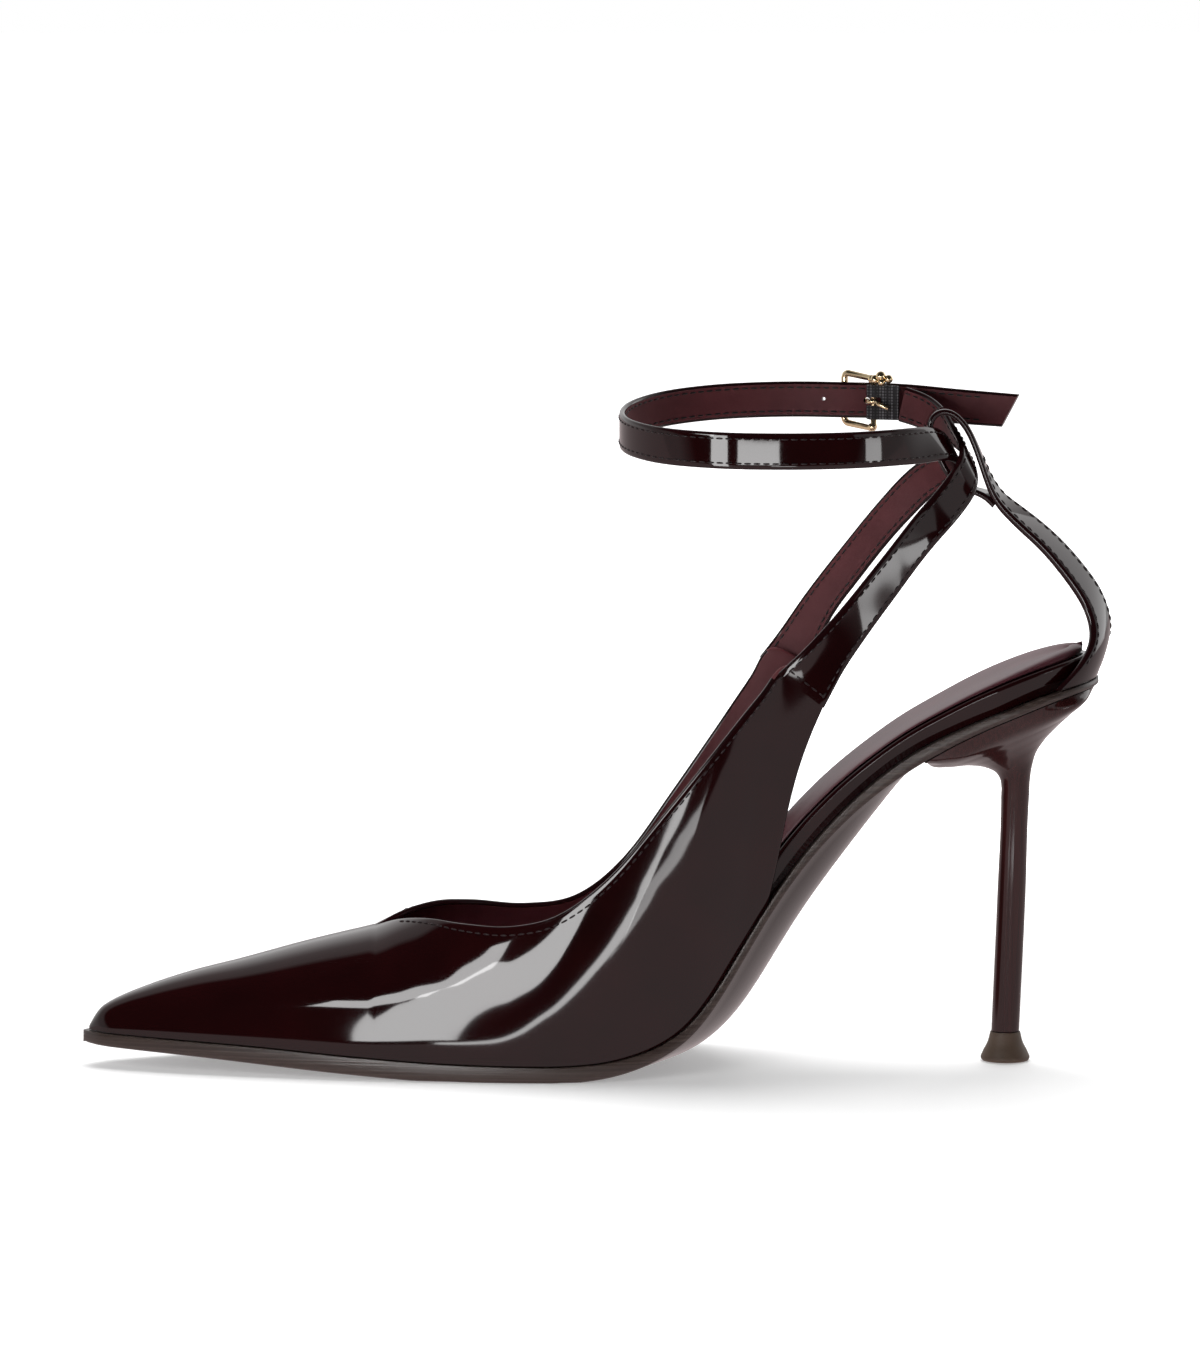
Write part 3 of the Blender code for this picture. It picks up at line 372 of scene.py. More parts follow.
# Stitches: sizes, form of one of them by place and girth, and the sections where the seams lie
STITCH_PITCH = 2.3
STITCH_LENGTH = 1.75
STITCH_RADIUS = 0.24
STITCH_INSET = 1.9
STRAP_STITCH_INSET = 1.5
STITCH_CHORD = 0.4
STITCH_SINK = 0.04
STITCH_BOW = 0.12
STITCH_FORM = [(-1, 0.35), (-0.7, 0.85), (0, 1.0), (0.7, 0.85), (1, 0.35)]
UPPER_SEAM_START = 9
STRAP_SEAM_START = 2
CROSS_SEAM_RING = 3
CROSS_SEAM_REACH = 0.86
SLING_SEAM = slice(8, 130)
FREE_END_RINGS = 12

# The upper's rim is lined where the straps' feet cover it: beyond this x and z
STRAP_FOOT = (42.0, 93.5)

# End of the loop under the sling, in the sling's columns
LOOP_END_ROWS = [
    (96.6, 0, 142.5, 9.0, 8, 0, 1.5),
    (98.6, 0, 140.9, 9.0, 15, 0, 1.4),
]

# Ornament on the buckle's corner: place in the buckle's axes and radius of each knob
KNOBS = [(0.5, -3.1, 5.5, 1.25), (2.0, -3.4, 6.4, 1.3), (2.3, -3.9, 4.9, 1.0), (4.0, -3.3, 5.7, 1.1)]

# Studio, in metres: floor, shades of grey by place, and the spots that the lights face
FLOOR_REACH = 12.0
FLOOR_FRONT = 0.62
FLOOR_DROP = 0.0002
FLOOR_SHADES = [(0.2, 0.3), (0.42, 1.0)]
FLOOR_GLOW = (1.0, 0.86, 0.86, 1)
FLOOR_GLOW_STRENGTH = 0.62
WORLD_SHADES = [(0.16, 0.45), (0.23, 1.0), (0.40, 0.85), (0.53, 0.42), (0.65, 0.4), (0.71, 0.025)]
SHOE_MIDDLE = (0, 0, 0.08)
VAMP_SIDE = (-0.043, -0.030, 0.018)
QUARTER_SIDE = (0.016, -0.033, 0.050)

# Lights: azimuth, elevation, distance, width, height, radiance, roll, and the spot that each faces
LIGHTS = {
    "key": (20, 16.5, 0.35, 0.084, 0.207, 10.5, 0, VAMP_SIDE),
    "strip": (31, 36, 0.35, 0.085, 0.04, 10.0, -20, VAMP_SIDE),
    "key_low": (6, -5.2, 2.5, 0.95, 0.33, 10.0, 0, SHOE_MIDDLE),
    "side_low": (-60, -5, 2.5, 0.5, 0.36, 6.0, 0, SHOE_MIDDLE),
    "low_right": (-9, -5.5, 0.5, 0.1, 0.045, 6.0, 0, QUARTER_SIDE),
    "side": (-60, 9.5, 2.5, 1.3, 0.8, 0.55, 0, SHOE_MIDDLE),
    "rim": (-126, 18, 2.5, 0.9, 2.0, 1.2, 0, SHOE_MIDDLE),
    "top_fill": (180, 64, 1.7, 1.5, 1.5, 5.5, 0, SHOE_MIDDLE),
}


def smooth(knots, values, at):
    """Smooth curve through values at the knots, its slopes taken from the neighbouring knots."""
    at = np.clip(at, knots[0], knots[-1])
    steps = np.diff(knots)
    rates = np.diff(values) / steps
    inner = (rates[:-1] * steps[1:] + rates[1:] * steps[:-1]) / (steps[:-1] + steps[1:])
    slopes = np.concatenate([rates[:1], inner, rates[-1:]])
    i = np.clip(np.searchsorted(knots, at, side="right") - 1, 0, len(steps) - 1)
    s = (at - knots[i]) / steps[i]
    ends = values[i] * (1 + 2 * s) * (1 - s) ** 2 + values[i + 1] * s ** 2 * (3 - 2 * s)
    return ends + steps[i] * (slopes[i] * s * (1 - s) ** 2 - slopes[i + 1] * s ** 2 * (1 - s))


def eased(values, reach):
    """Values smoothed with a bell of that reach in samples, the ends and their slopes kept."""
    spread = int(4 * reach)
    bell = np.exp(-0.5 * (np.arange(-spread, spread + 1) / reach) ** 2)
    before = 2 * values[0] - values[spread:0:-1]
    after = 2 * values[-1] - values[-2:-spread - 2:-1]
    return np.convolve(np.concatenate([before, values, after]), bell / bell.sum(), mode="valid")


def table(names, rows):
    """Columns of a table, by name."""
    return dict(zip(names.split(), np.array(rows, float).T))


def fine_table(names, rows, reach):
    """Columns of a table along the foot, sampled finely and eased over a reach in percent."""
    columns = table(names, rows)
    knots = columns["along"]
    along = np.linspace(knots[0], knots[-1], TABLE_SAMPLES)
    samples = reach / (along[1] - along[0])
    fine = {name: eased(smooth(knots, values, along), samples) for name, values in columns.items()}
    fine["along"] = along
    return fine


LAST = fine_table(LAST_COLUMNS, LAST_ROWS, reach=0.9)
FOOTBED = fine_table(FOOTBED_COLUMNS, FOOTBED_ROWS, reach=1.5)
RIDGE = fine_table(RIDGE_COLUMNS, RIDGE_ROWS, reach=0.12)
INNER_QUARTER = fine_table(QUARTER_COLUMNS, INNER_QUARTER_ROWS, reach=0.45)
OUTER_QUARTER = fine_table(QUARTER_COLUMNS, OUTER_QUARTER_ROWS, reach=0.45)

# Sections along the foot, close together at the round ends
TOE_STATIONS = FIRST_STATION + TOE_REACH * np.linspace(0, 1, 18) ** 2
MIDDLE_STATIONS = np.linspace(MIDDLE_START, SEAT_START, 200)
SEAT_STATIONS = BACK_END - (BACK_END - SEAT_START) * np.linspace(1, 0, 32)[1:] ** 2
STATIONS = np.concatenate([TOE_STATIONS, MIDDLE_STATIONS, SEAT_STATIONS])


def read(columns, name, along):
    """Value of one column at a place along the foot."""
    return np.interp(along, columns["along"], columns[name])


def stations_from(first, inset):
    """Sections from a place along the foot to the back of an outline drawn in by inset."""
    squeeze = (BACK_END - 100 * inset / LENGTH - SEAT_START) / (BACK_END - SEAT_START)
    seat = SEAT_START + (STATIONS - SEAT_START) * squeeze
    sections = np.where(STATIONS > SEAT_START, seat, STATIONS)
    return sections[sections > first]


def rounding(share):
    """Share of the full width inside a round end: 0 at its tip, 1 past its radius."""
    return math.sqrt(1 - (1 - min(max(share, 0), 1)) ** 2)


def feather_x(along):
    return TOE + LENGTH * along / 100


def feather_z(along):
    return HEEL_HEIGHT * read(LAST, "rise", along) / 100


def feather_normal(along):
    """Upward normal of the last's bottom."""
    step = 0.2
    run = LENGTH * 2 * step / 100
    rise = feather_z(along + step) - feather_z(along - step)
    return np.array([-rise, 0, run]) / math.hypot(rise, run)


def half_width(along, side, inset):
    """Half width of the sole's outline, drawn in by inset; side is -1 inner, 1 outer."""
    x = feather_x(along)
    share = read(LAST, "inner" if side < 0 else "outer", along) / 100
    width = max(share * BALL_WIDTH / 2 - inset, LEAST_WIDTH)
    toe = rounding((x - TOE - inset) / TOE_RADIUS)
    seat = rounding((TOE + LENGTH - inset - x) / SEAT_RADIUS)
    return width * max(toe, LEAST_SHARE) * max(seat, LEAST_SHARE)


def last_point(along, side, inset, height):
    """Point over the sole's outline, at a height along the normal of the last's bottom."""
    y = read(LAST, "swing", along) + side * half_width(along, side, inset)
    return np.array([feather_x(along), y, feather_z(along)]) + feather_normal(along) * height


def seat_point(along, side, inset, height):
    """Point of the footbed over the sole's outline; its walls turn upright towards the back."""
    upright = min(max((along - UPRIGHT_START) / (UPRIGHT_END - UPRIGHT_START), 0), 1)
    lift = feather_normal(along) * (1 - upright, 1, 1)
    return last_point(along, side, inset, 0) + lift * height / np.linalg.norm(lift)


def seat_sides(along, outline):
    """Points of an outline, given by inset and height, on the footbed's inner and outer side."""
    return [[seat_point(along, side, *spot) for spot in outline] for side in (-1, 1)]


def across(low, high, share):
    """Point between two points, share 0 to 1."""
    return low + (high - low) * share


def distances(points):
    """Distance along a line of points, at each of them."""
    return np.concatenate([[0], np.cumsum(np.linalg.norm(np.diff(points, axis=0), axis=1))])


def between(at, knots, points):
    """Points of a line at distances along it."""
    return np.stack([np.interp(at, knots, column) for column in points.T], axis=-1)


def sampled_path(columns, count):
    """Even samples of a path table: its points, their tangents and the other columns."""
    knots = distances(np.stack([columns[axis] for axis in "xyz"], axis=1))
    at = np.linspace(0, knots[-1], count)
    reach = PATH_EASE / (at[1] - at[0])
    samples = {name: eased(smooth(knots, values, at), reach) for name, values in columns.items()}
    points = np.stack([samples[axis] for axis in "xyz"], axis=1)
    tangents = np.gradient(points, axis=0)
    tangents /= np.linalg.norm(tangents, axis=1)[:, None]
    return points, tangents, samples


def turned(vector, axis, degrees):
    """Vector, square to the axis, turned about it."""
    angle = math.radians(degrees)
    return vector * math.cos(angle) + np.cross(axis, vector) * math.sin(angle)


def place(points):
    """Shoe millimetres as metres in the frame."""
    return (np.asarray(points, float) + SHIFT) * MM


def outward(mesh):
    """Turn the faces of a closed mesh outward."""
    shell = bmesh.new()
    shell.from_mesh(mesh)
    bmesh.ops.recalc_face_normals(shell, faces=shell.faces)
    if shell.calc_volume(signed=True) < 0:
        bmesh.ops.reverse_faces(shell, faces=shell.faces)
    shell.to_mesh(mesh)
    shell.free()


def make_object(name, points, faces, surfaces, kinds=None, crease=CREASE):
    """Smooth object in the frame; kinds gives the number of each face's surface."""
    mesh = bpy.data.meshes.new(name)
    mesh.from_pydata([tuple(p) for p in place(points)], [], [tuple(map(int, face)) for face in faces])
    for surface in surfaces:
        mesh.materials.append(surface)
    if kinds is not None:
        mesh.polygons.foreach_set("material_index", np.array(kinds, np.int32))
    outward(mesh)
    mesh.shade_smooth()
    mesh.set_sharp_from_angle(angle=math.radians(crease))
    item = bpy.data.objects.new(name, mesh)
    bpy.context.scene.collection.objects.link(item)
    return item


def loft(rings, kinds=None, closed=False, cap=0):
    """Points, faces and face surfaces of a skin over equal rings, capped unless it closes on itself."""
    count = len(rings[0])
    kinds = kinds or [0] * count
    points = np.concatenate(rings)
    faces = []
    face_kinds = []
    for r in range(len(rings) if closed else len(rings) - 1):
        a = r * count
        b = (r + 1) % len(rings) * count
        for k in range(count):
            n = (k + 1) % count
            faces.append((a + k, a + n, b + n, b + k))
            face_kinds.append(kinds[k])
    if not closed:
        last = (len(rings) - 1) * count
        faces.append(tuple(reversed(range(count))))
        faces.append(tuple(range(last, last + count)))
        face_kinds += [cap, cap]
    return points, faces, face_kinds


def merged(skins):
    """Points and faces of several skins, taken together."""
    faces = []
    start = 0
    for points, skin_faces, kinds in skins:
        faces += [tuple(start + k for k in face) for face in skin_faces]
        start += len(points)
    return np.concatenate([skin[0] for skin in skins]), faces


def cut_out(item, cutter):
    """Cut one object out of another for good, and drop the cutter."""
    cut = item.modifiers.new("hole", "BOOLEAN")
    cut.operation = "DIFFERENCE"
    cut.solver = "EXACT"
    cut.object = cutter
    shown = item.evaluated_get(bpy.context.evaluated_depsgraph_get())
    mesh = bpy.data.meshes.new_from_object(shown)
    item.modifiers.clear()
    mesh.name = item.name
    item.data = mesh
    mesh.shade_smooth()
    mesh.set_sharp_from_angle(angle=math.radians(CREASE))
    bpy.data.objects.remove(cutter)


def outsole(edge_surface, tread_surface):
    """Sole with its edge band, flat tread, toe spring and crowned waist."""
    shares = np.linspace(0, 1, 17)
    rings = []
    for along in STATIONS:
        edge = read(LAST, "edge", along)
        crown = max(read(LAST, "crown", along), 0)
        inner = [last_point(along, -1, inset, -share * edge) for inset, share in SOLE_BAND]
        outer = [last_point(along, 1, inset, -share * edge) for inset, share in SOLE_BAND]
        drop = feather_normal(along) * crown
        tread = [across(outer[-1], inner[-1], s) - drop * (1 - (2 * s - 1) ** 2) for s in shares]
        ring = np.array(inner[-2::-1] + outer[:-1] + tread)
        ring[:, 2] = np.maximum(ring[:, 2], 0)
        rings.append(ring)
    size = len(SOLE_BAND) - 1
    points, faces, kinds = loft(rings, [0] * (2 * size) + [1] * (len(shares) - 1) + [0])
    return make_object("sole", points, faces, [edge_surface, tread_surface], kinds, crease=50)


def footbed(surface):
    """Wrapped insole board on the sole, with a rounded rim."""
    rings = []
    for along in stations_from(LINING_START, FOOTBED_ROWS[-1][1]):
        inset = read(FOOTBED, "inset", along)
        middle = SEAT_GAP + read(FOOTBED, "rim", along) - RIM_RADIUS
        outline = [(inset + RIM_LEAN, SEAT_GAP)]
        for turn in np.radians(np.linspace(0, 90, 9)):
            drawn_in = RIM_RADIUS * (1 - math.cos(turn))
            outline.append((inset + drawn_in, middle + RIM_RADIUS * math.sin(turn)))
        inner, outer = seat_sides(along, outline)
        rings.append(np.array(inner + outer[::-1]))
    return make_object("footbed_wrap", *loft(rings)[:2], [surface])


def sock(surface):
    """Padded insole cover on the footbed: its edge rolls over and its middle is hollowed by the foot."""
    shares = np.linspace(0, 1, 16)[1:-1]
    rings = []
    for along in stations_from(SOCK_START, SOCK_BACK_INSET):
        inset = read(FOOTBED, "inset", along) + RIM_RADIUS + SOCK_MARGIN
        base = 2 * SEAT_GAP + read(FOOTBED, "rim", along)
        thick = read(FOOTBED, "sock", along)
        outline = [(inset + SOCK_TUCK, base)]
        for turn in np.radians(np.linspace(0, 90, 10)):
            drawn_in = SOCK_ROLL * (1 - math.cos(turn) ** SOCK_SQUARENESS)
            rise = SOCK_EDGE + (1 - SOCK_EDGE) * math.sin(turn) ** SOCK_SQUARENESS
            outline.append((inset + drawn_in, base + thick * rise))
        inner, outer = seat_sides(along, outline)
        dip = feather_normal(along) * SOCK_DIP * thick
        middle = [across(inner[-1], outer[-1], s) - dip * math.sin(math.pi * s) ** 2 for s in shares]
        rings.append(np.array(inner + middle + outer[::-1]))
    return make_object("sock_pad", *loft(rings)[:2], [surface])


def wall_line(bottom, top, apex, roundness, bulge, bow):
    """Section of the upper from the sole to its top.

    The arch is the part of a rounded vault, with its crown over the apex line, that ends at the top.
    Roundness blends it with a straight wall. The wall bulges to the side and bows towards the toe.
    """
    share = np.linspace(0, 1, ARCH_POINTS)
    lean = min(abs((top[1] - apex) / (bottom[1] - apex)), STEEPEST_LEAN)
    end = math.acos(lean ** (ARCH_POWER / 2))
    vault_rise = (np.sin(share * end) / math.sin(end)) ** (2 / ARCH_POWER)
    vault_y = apex + (bottom[1] - apex) * np.cos(share * end).clip(0) ** (2 / ARCH_POWER)
    vault_y += (top[1] - vault_y[-1]) * share
    rise = roundness * vault_rise + (1 - roundness) * share
    y = roundness * vault_y + (1 - roundness) * across(bottom[1], top[1], share)
    y += np.sign(bottom[1]) * bulge * np.sin(share * math.pi)
    x = across(bottom[0], top[0], rise) - bow * np.sin(math.pi * rise ** BOW_POWER)
    return np.stack([x, y, across(bottom[2], top[2], rise)], axis=1)


def vamp_half(along, side):
    """Half of the closed vamp's section, from the sole to the ridge."""
    bottom = last_point(along, side, read(LAST, "ledge", along), SEAT_GAP)
    swing = read(LAST, "swing", along)
    ridge = np.array([feather_x(along), swing, INSTEP_HEIGHT * read(RIDGE, "rise", along) / 100])
    return wall_line(bottom, ridge, swing, 1.0, 0.0, 0.0)


def quarter_half(along, side, columns):
    """Section of a quarter, from the sole to the topline."""
    bottom = last_point(along, side, read(LAST, "ledge", along), SEAT_GAP)
    swing = read(LAST, "swing", along)
    top = np.array([read(columns, "x", along), swing + side * read(columns, "half", along),
                    read(columns, "z", along)])
    roundness, bulge, bow = (read(columns, name, along) for name in ("roundness", "bulge", "bow"))
    return wall_line(bottom, top, swing, roundness, bulge, bow)


def strip_faces(strips, flipped=False):
    """Four-sided faces between neighbouring strips of point numbers."""
    faces = []
    for a, b in zip(strips[:-1], strips[1:]):
        for k in range(len(a) - 1):
            face = (a[k], b[k], b[k + 1], a[k + 1])
            faces.append(face[::-1] if flipped else face)
    return faces


def skin_normals(points, faces):
    """Outward direction at each point of an open skin."""
    quads = np.array(faces)
    a, b, c, d = (points[quads[:, corner]] for corner in range(4))
    facing = np.cross(c - a, d - b)
    normals = np.zeros_like(points)
    for corner in range(4):
        np.add.at(normals, quads[:, corner], facing)
    return normals / np.maximum(np.linalg.norm(normals, axis=1), 1e-9)[:, None]


class Skin:
    """Outer skin of the upper: points, normals and the strips of point numbers from the sole upwards."""

    def __init__(self):
        points = []

        def add(line):
            points.extend(line)
            return list(range(len(points) - len(line), len(points)))

        front = STATIONS[(STATIONS >= SHELL_START) & (STATIONS < THROAT - SECTION_GAP)]
        self.front = [*front, THROAT]
        self.vamp = []
        for along in self.front:
            inner = vamp_half(along, -1)
            outer = vamp_half(along, 1)
            self.vamp.append(add(np.concatenate([inner, outer[-2::-1]])))
        self.rear = np.linspace(THROAT, INNER_QUARTER["along"][-1], QUARTER_SECTIONS)
        self.inner = [self.vamp[-1][:ARCH_POINTS]]
        self.outer = [self.vamp[-1][:ARCH_POINTS - 2:-1]]
        for along in self.rear[1:]:
            self.inner.append(add(quarter_half(along, -1, INNER_QUARTER)))
            self.outer.append(add(quarter_half(along, 1, OUTER_QUARTER)))
        self.points = np.array(points)
        self.faces = strip_faces(self.vamp) + strip_faces(self.inner)
        self.faces += strip_faces(self.outer, flipped=True)
        self.normals = skin_normals(self.points, self.faces)
        self.level([[strip[0] for strip in self.vamp], [strip[-1] for strip in self.vamp]], self.front)
        self.level([[strip[0] for strip in self.inner], [strip[0] for strip in self.outer]], self.rear)

    def level(self, feet, stations):
        """Lay the normals along the sole at the feet of the strips."""
        for line in feet:
            for v, along in zip(line, stations):
                base = feather_normal(along)
                self.normals[v] -= base * self.normals[v].dot(base)
                self.normals[v] /= np.linalg.norm(self.normals[v])

    def edge(self):
        """Point numbers round the open edge: inner rear edge, topline, outer rear edge."""
        topline = [strip[-1] for strip in self.inner[-2::-1]] + [strip[-1] for strip in self.outer[1:]]
        return self.inner[-1] + topline + self.outer[-1][-2::-1]


def rim_points(skin, lining):
    """Lines of points over the rounded rim, between the outer skin and the lining."""
    edge = skin.edge()
    outer = skin.points[edge]
    proud = np.cross(skin.normals[edge], np.gradient(outer, axis=0))
    proud /= np.linalg.norm(proud, axis=1)[:, None]
    probe = 20
    strip = skin.inner[probe]
    if proud[len(edge) // 2 - probe].dot(skin.points[strip[-1]] - skin.points[strip[-2]]) < 0:
        proud = -proud
    middle = (outer + lining[edge]) / 2
    half = (outer - lining[edge]) / 2
    turns = np.radians(np.linspace(0, 180, RIM_LINES)[1:-1])
    return [middle + half * math.cos(t) + proud * WALL * RIM_BULGE * math.sin(t) for t in turns]


def upper(skin, surfaces):
    """Hollow shell of vamp and quarters with a rounded rim, open at the throat, behind and below."""
    lining = skin.points - skin.normals * WALL
    offset = len(skin.points)
    first = next(i for i, along in enumerate(skin.front) if along >= HOLLOW_START)
    hollow = strip_faces(skin.vamp[first:], flipped=True) + strip_faces(skin.inner, flipped=True)
    hollow += strip_faces(skin.outer)
    faces = list(skin.faces) + [tuple(v + offset for v in face) for face in hollow]
    kinds = [OUTSIDE] * len(skin.faces) + [INSIDE] * len(hollow)

    for line in ([strip[0] for strip in skin.vamp[first:]] + [strip[0] for strip in skin.inner[1:]],
                 [strip[-1] for strip in skin.vamp[first:]] + [strip[0] for strip in skin.outer[1:]]):
        faces += [(b, a, a + offset, b + offset) for a, b in zip(line[:-1], line[1:])]
        kinds += [EDGE] * (len(line) - 1)
    faces.append(tuple(skin.vamp[0]))
    faces.append(tuple(v + offset for v in skin.vamp[first][::-1]))
    toe = [strip[0] for strip in skin.vamp[first::-1]] + [strip[-1] for strip in skin.vamp[:first + 1]]
    faces.append(tuple(toe[::-1]) + (skin.vamp[first][0] + offset, skin.vamp[first][-1] + offset))
    kinds += [OUTSIDE, INSIDE, EDGE]

    edge = skin.edge()
    round_over = rim_points(skin, lining)
    rim = [edge]
    for n in range(len(round_over)):
        start = 2 * offset + n * len(edge)
        rim.append(list(range(start, start + len(edge))))
    rim.append([v + offset for v in edge])
    rim_faces = strip_faces(rim)
    rim_faces += [tuple(line[0] for line in rim), tuple(line[-1] for line in rim[::-1])]
    faces += rim_faces
    kinds += [EDGE] * len(rim_faces)

    points = np.concatenate([skin.points, lining] + round_over)
    for n, face in enumerate(faces):
        if kinds[n] == EDGE and (points[list(face)].min(axis=0)[[0, 2]] > STRAP_FOOT).all():
            kinds[n] = INSIDE
    used = sorted({v for face in faces for v in face})
    number = {v: n for n, v in enumerate(used)}
    faces = [tuple(number[v] for v in face) for face in faces]
    return make_object("upper_shell", points[used], faces, surfaces, kinds, crease=45)


def resampled(points, count):
    """Line of points resampled to even steps."""
    knots = distances(points)
    return between(np.linspace(0, knots[-1], count), knots, np.array(points))


def heel(surface):
    """Stiletto heel: the seat's outline at the top, drawn in to a slim stem."""
    rows = table(HEEL_COLUMNS, HEEL_ROWS)
    count = 48
    seat_stations = [BREAST, *stations_from(BREAST + BREAST_STEP, SEAT_INSET)]
    corners = [last_point(s, 1, SEAT_INSET, -SEAT_GAP - read(LAST, "edge", s)) for s in seat_stations]
    front = np.array([corners[0][0], 0, corners[0][2]])
    rings = [resampled([front] + corners, count)]
    angles = np.arange(count) * math.pi / (count - 0.5)
    for r in range(len(HEEL_ROWS)):
        row = {name: values[r] for name, values in rows.items()}
        ahead = np.cos(angles).clip(0) ** row["square"]
        behind = (-np.cos(angles)).clip(0) ** row["square"]
        ring = [row["side_" + axis] + (row["front_" + axis] - row["side_" + axis]) * ahead
                + (row["back_" + axis] - row["side_" + axis]) * behind for axis in "xz"]
        rings.append(np.stack([ring[0], row["half"] * np.sin(angles) ** row["square"], ring[1]], axis=1))
    rings = np.array(rings)
    steps = np.linalg.norm(np.diff(rings, axis=0), axis=2).mean(axis=1)
    knots = np.concatenate([[0], np.cumsum(steps)])
    neck = knots[HEEL_NECK]
    at = np.concatenate([np.linspace(0, neck, 60), np.linspace(neck, knots[-1], 30)[1:]])
    fine = np.zeros((len(at), count, 3))
    for k in range(count):
        for axis in range(3):
            fine[:, k, axis] = smooth(knots, rings[:, k, axis], at)
    whole = [np.concatenate([ring, ring[:0:-1] * (1, -1, 1)]) for ring in fine]
    points, faces = loft(whole)[:2]
    size = len(whole[0])

    # The seat is closed by strips from side to side
    seat = [(size - 1, 0, 1)] + [(size - k, size - k - 1, k + 1, k) for k in range(1, count - 1)]
    return make_object("heel_cover", points, faces[:-2] + faces[-1:] + seat, [surface], crease=60)


def heel_tip(surface):
    """Turned top piece, flat on the floor."""
    sides = 48
    angles = np.arange(sides) * 2 * math.pi / sides
    heights, radii = np.array(TIP_ROWS, float).T
    levels = np.linspace(0, TIP_HEIGHT, 26)
    rings = []
    for z, radius in zip(levels, smooth(heights, radii, levels)):
        x = STEM_FOOT_X + radius * np.cos(angles)
        rings.append(np.stack([x, radius * np.sin(angles), np.full(sides, z)], axis=1))
    return make_object("heel_top_piece", *loft(rings)[:2], [surface])


def strap_profile(half, thickness, crown):
    """Section of a strap with rounded edges: distance across, distance out, and its surface."""
    radius = STRAP_ROUNDING * thickness
    rest = thickness / 2 - radius
    flat = half - radius
    turns = np.radians([0, 30, 60, 90])
    top = [(flat + radius * math.cos(t), rest + radius * math.sin(t), EDGE) for t in turns[:-1]]
    for s in np.linspace(1, -1, 11):
        top.append((s * flat, thickness / 2 + crown * (1 - s * s), OUTSIDE if s > -1 else EDGE))
    top += [(-flat - radius * math.sin(t), rest + radius * math.cos(t), EDGE) for t in turns[1:]]
    return top + [(-u, -w, INSIDE if kind == OUTSIDE else kind) for u, w, kind in top]


def strap_rings(columns, count, flip):
    """Sections of an upright strap along its path, its points, outward directions and edges."""
    points, tangents, samples = sampled_path(columns, count)
    rings = []
    frames = []
    for point, tangent, width, lean in zip(points, tangents, samples["width"], samples["lean"]):
        up = np.array([0, 0, 1.0]) - tangent * tangent[2]
        up = turned(up / np.linalg.norm(up), tangent, lean)
        face = np.cross(tangent, up) * flip
        half = width * STRAP_WIDTH / 2
        section = strap_profile(half, STRAP_THICKNESS, STRAP_CROWN)
        rings.append(np.array([point + up * u + face * w for u, w, kind in section]))
        frames.append((point, up * half, face * STRAP_THICKNESS / 2))
    kinds = [kind for u, w, kind in section]
    return rings, kinds, np.array(frames)


def inner_strap(surfaces):
    """Strap from the inner quarter through the loop to the elastic."""
    rings, kinds, frames = strap_rings(table(STRAP_COLUMNS, INNER_STRAP_ROWS), INNER_RINGS, 1)
    points, faces, face_kinds = loft(rings, kinds, cap=EDGE)
    return make_object("strap_inner", points, faces, surfaces, face_kinds), frames


def ankle_strap(surfaces):
    """Strap from the outer quarter through the loop and round the ankle, with holes and a slanted end."""
    rings, kinds, frames = strap_rings(table(STRAP_COLUMNS, ANKLE_STRAP_ROWS), ANKLE_RINGS, -1)
    point, up = frames[-1][:2]
    back = frames[-2][0] - point
    back /= np.linalg.norm(back)
    for k in range(1, SLANT_RINGS + 1):
        ring = rings[-k]
        share = 0.5 - ((ring - frames[-k][0]) @ up) / (2 * up.dot(up))
        rings[-k] = ring + np.outer(share, back) * FREE_END_SLANT * (1 - (k - 1) / SLANT_RINGS)
    points, faces, face_kinds = loft(rings, kinds, cap=EDGE)
    item = make_object("strap_ankle", points, faces, surfaces, face_kinds)
    for along, height, radius in STRAP_HOLES:
        ends = [buckle_point(along, out, height) for out in (-CUTTER_REACH, CUTTER_REACH)]
        cut_out(item, pin(ends, radius))
    return item, frames


def pin(ends, radius):
    """Round cutter between two points."""
    return make_object("pin", *loft(tube(np.array(ends), (radius, radius), 20))[:2], [])


def tube(points, radii, sides):
    """Round sections along a line of points."""
    tangents = np.gradient(points, axis=0)
    angles = np.arange(sides) * 2 * math.pi / sides
    rings = []
    for point, tangent, radius in zip(points, tangents, radii):
        tangent = tangent / np.linalg.norm(tangent)
        first = np.cross(tangent, (0, 0, 1.0))
        if np.linalg.norm(first) < 0.3:
            first = np.cross(tangent, (1.0, 0, 0))
        first /= np.linalg.norm(first)
        second = np.cross(tangent, first)
        circle = np.outer(np.cos(angles), first) + np.outer(np.sin(angles), second)
        rings.append(point + radius * circle)
    return rings


def seat_round(y):
    """Distance by which the seat's back edge falls away at y from the middle, and its slope there."""
    share = y / SLING_SEAT_HALF
    root = math.sqrt(1 - share * share)
    return SEAT_RADIUS * (1 - root), SEAT_RADIUS * share / (SLING_SEAT_HALF * root)


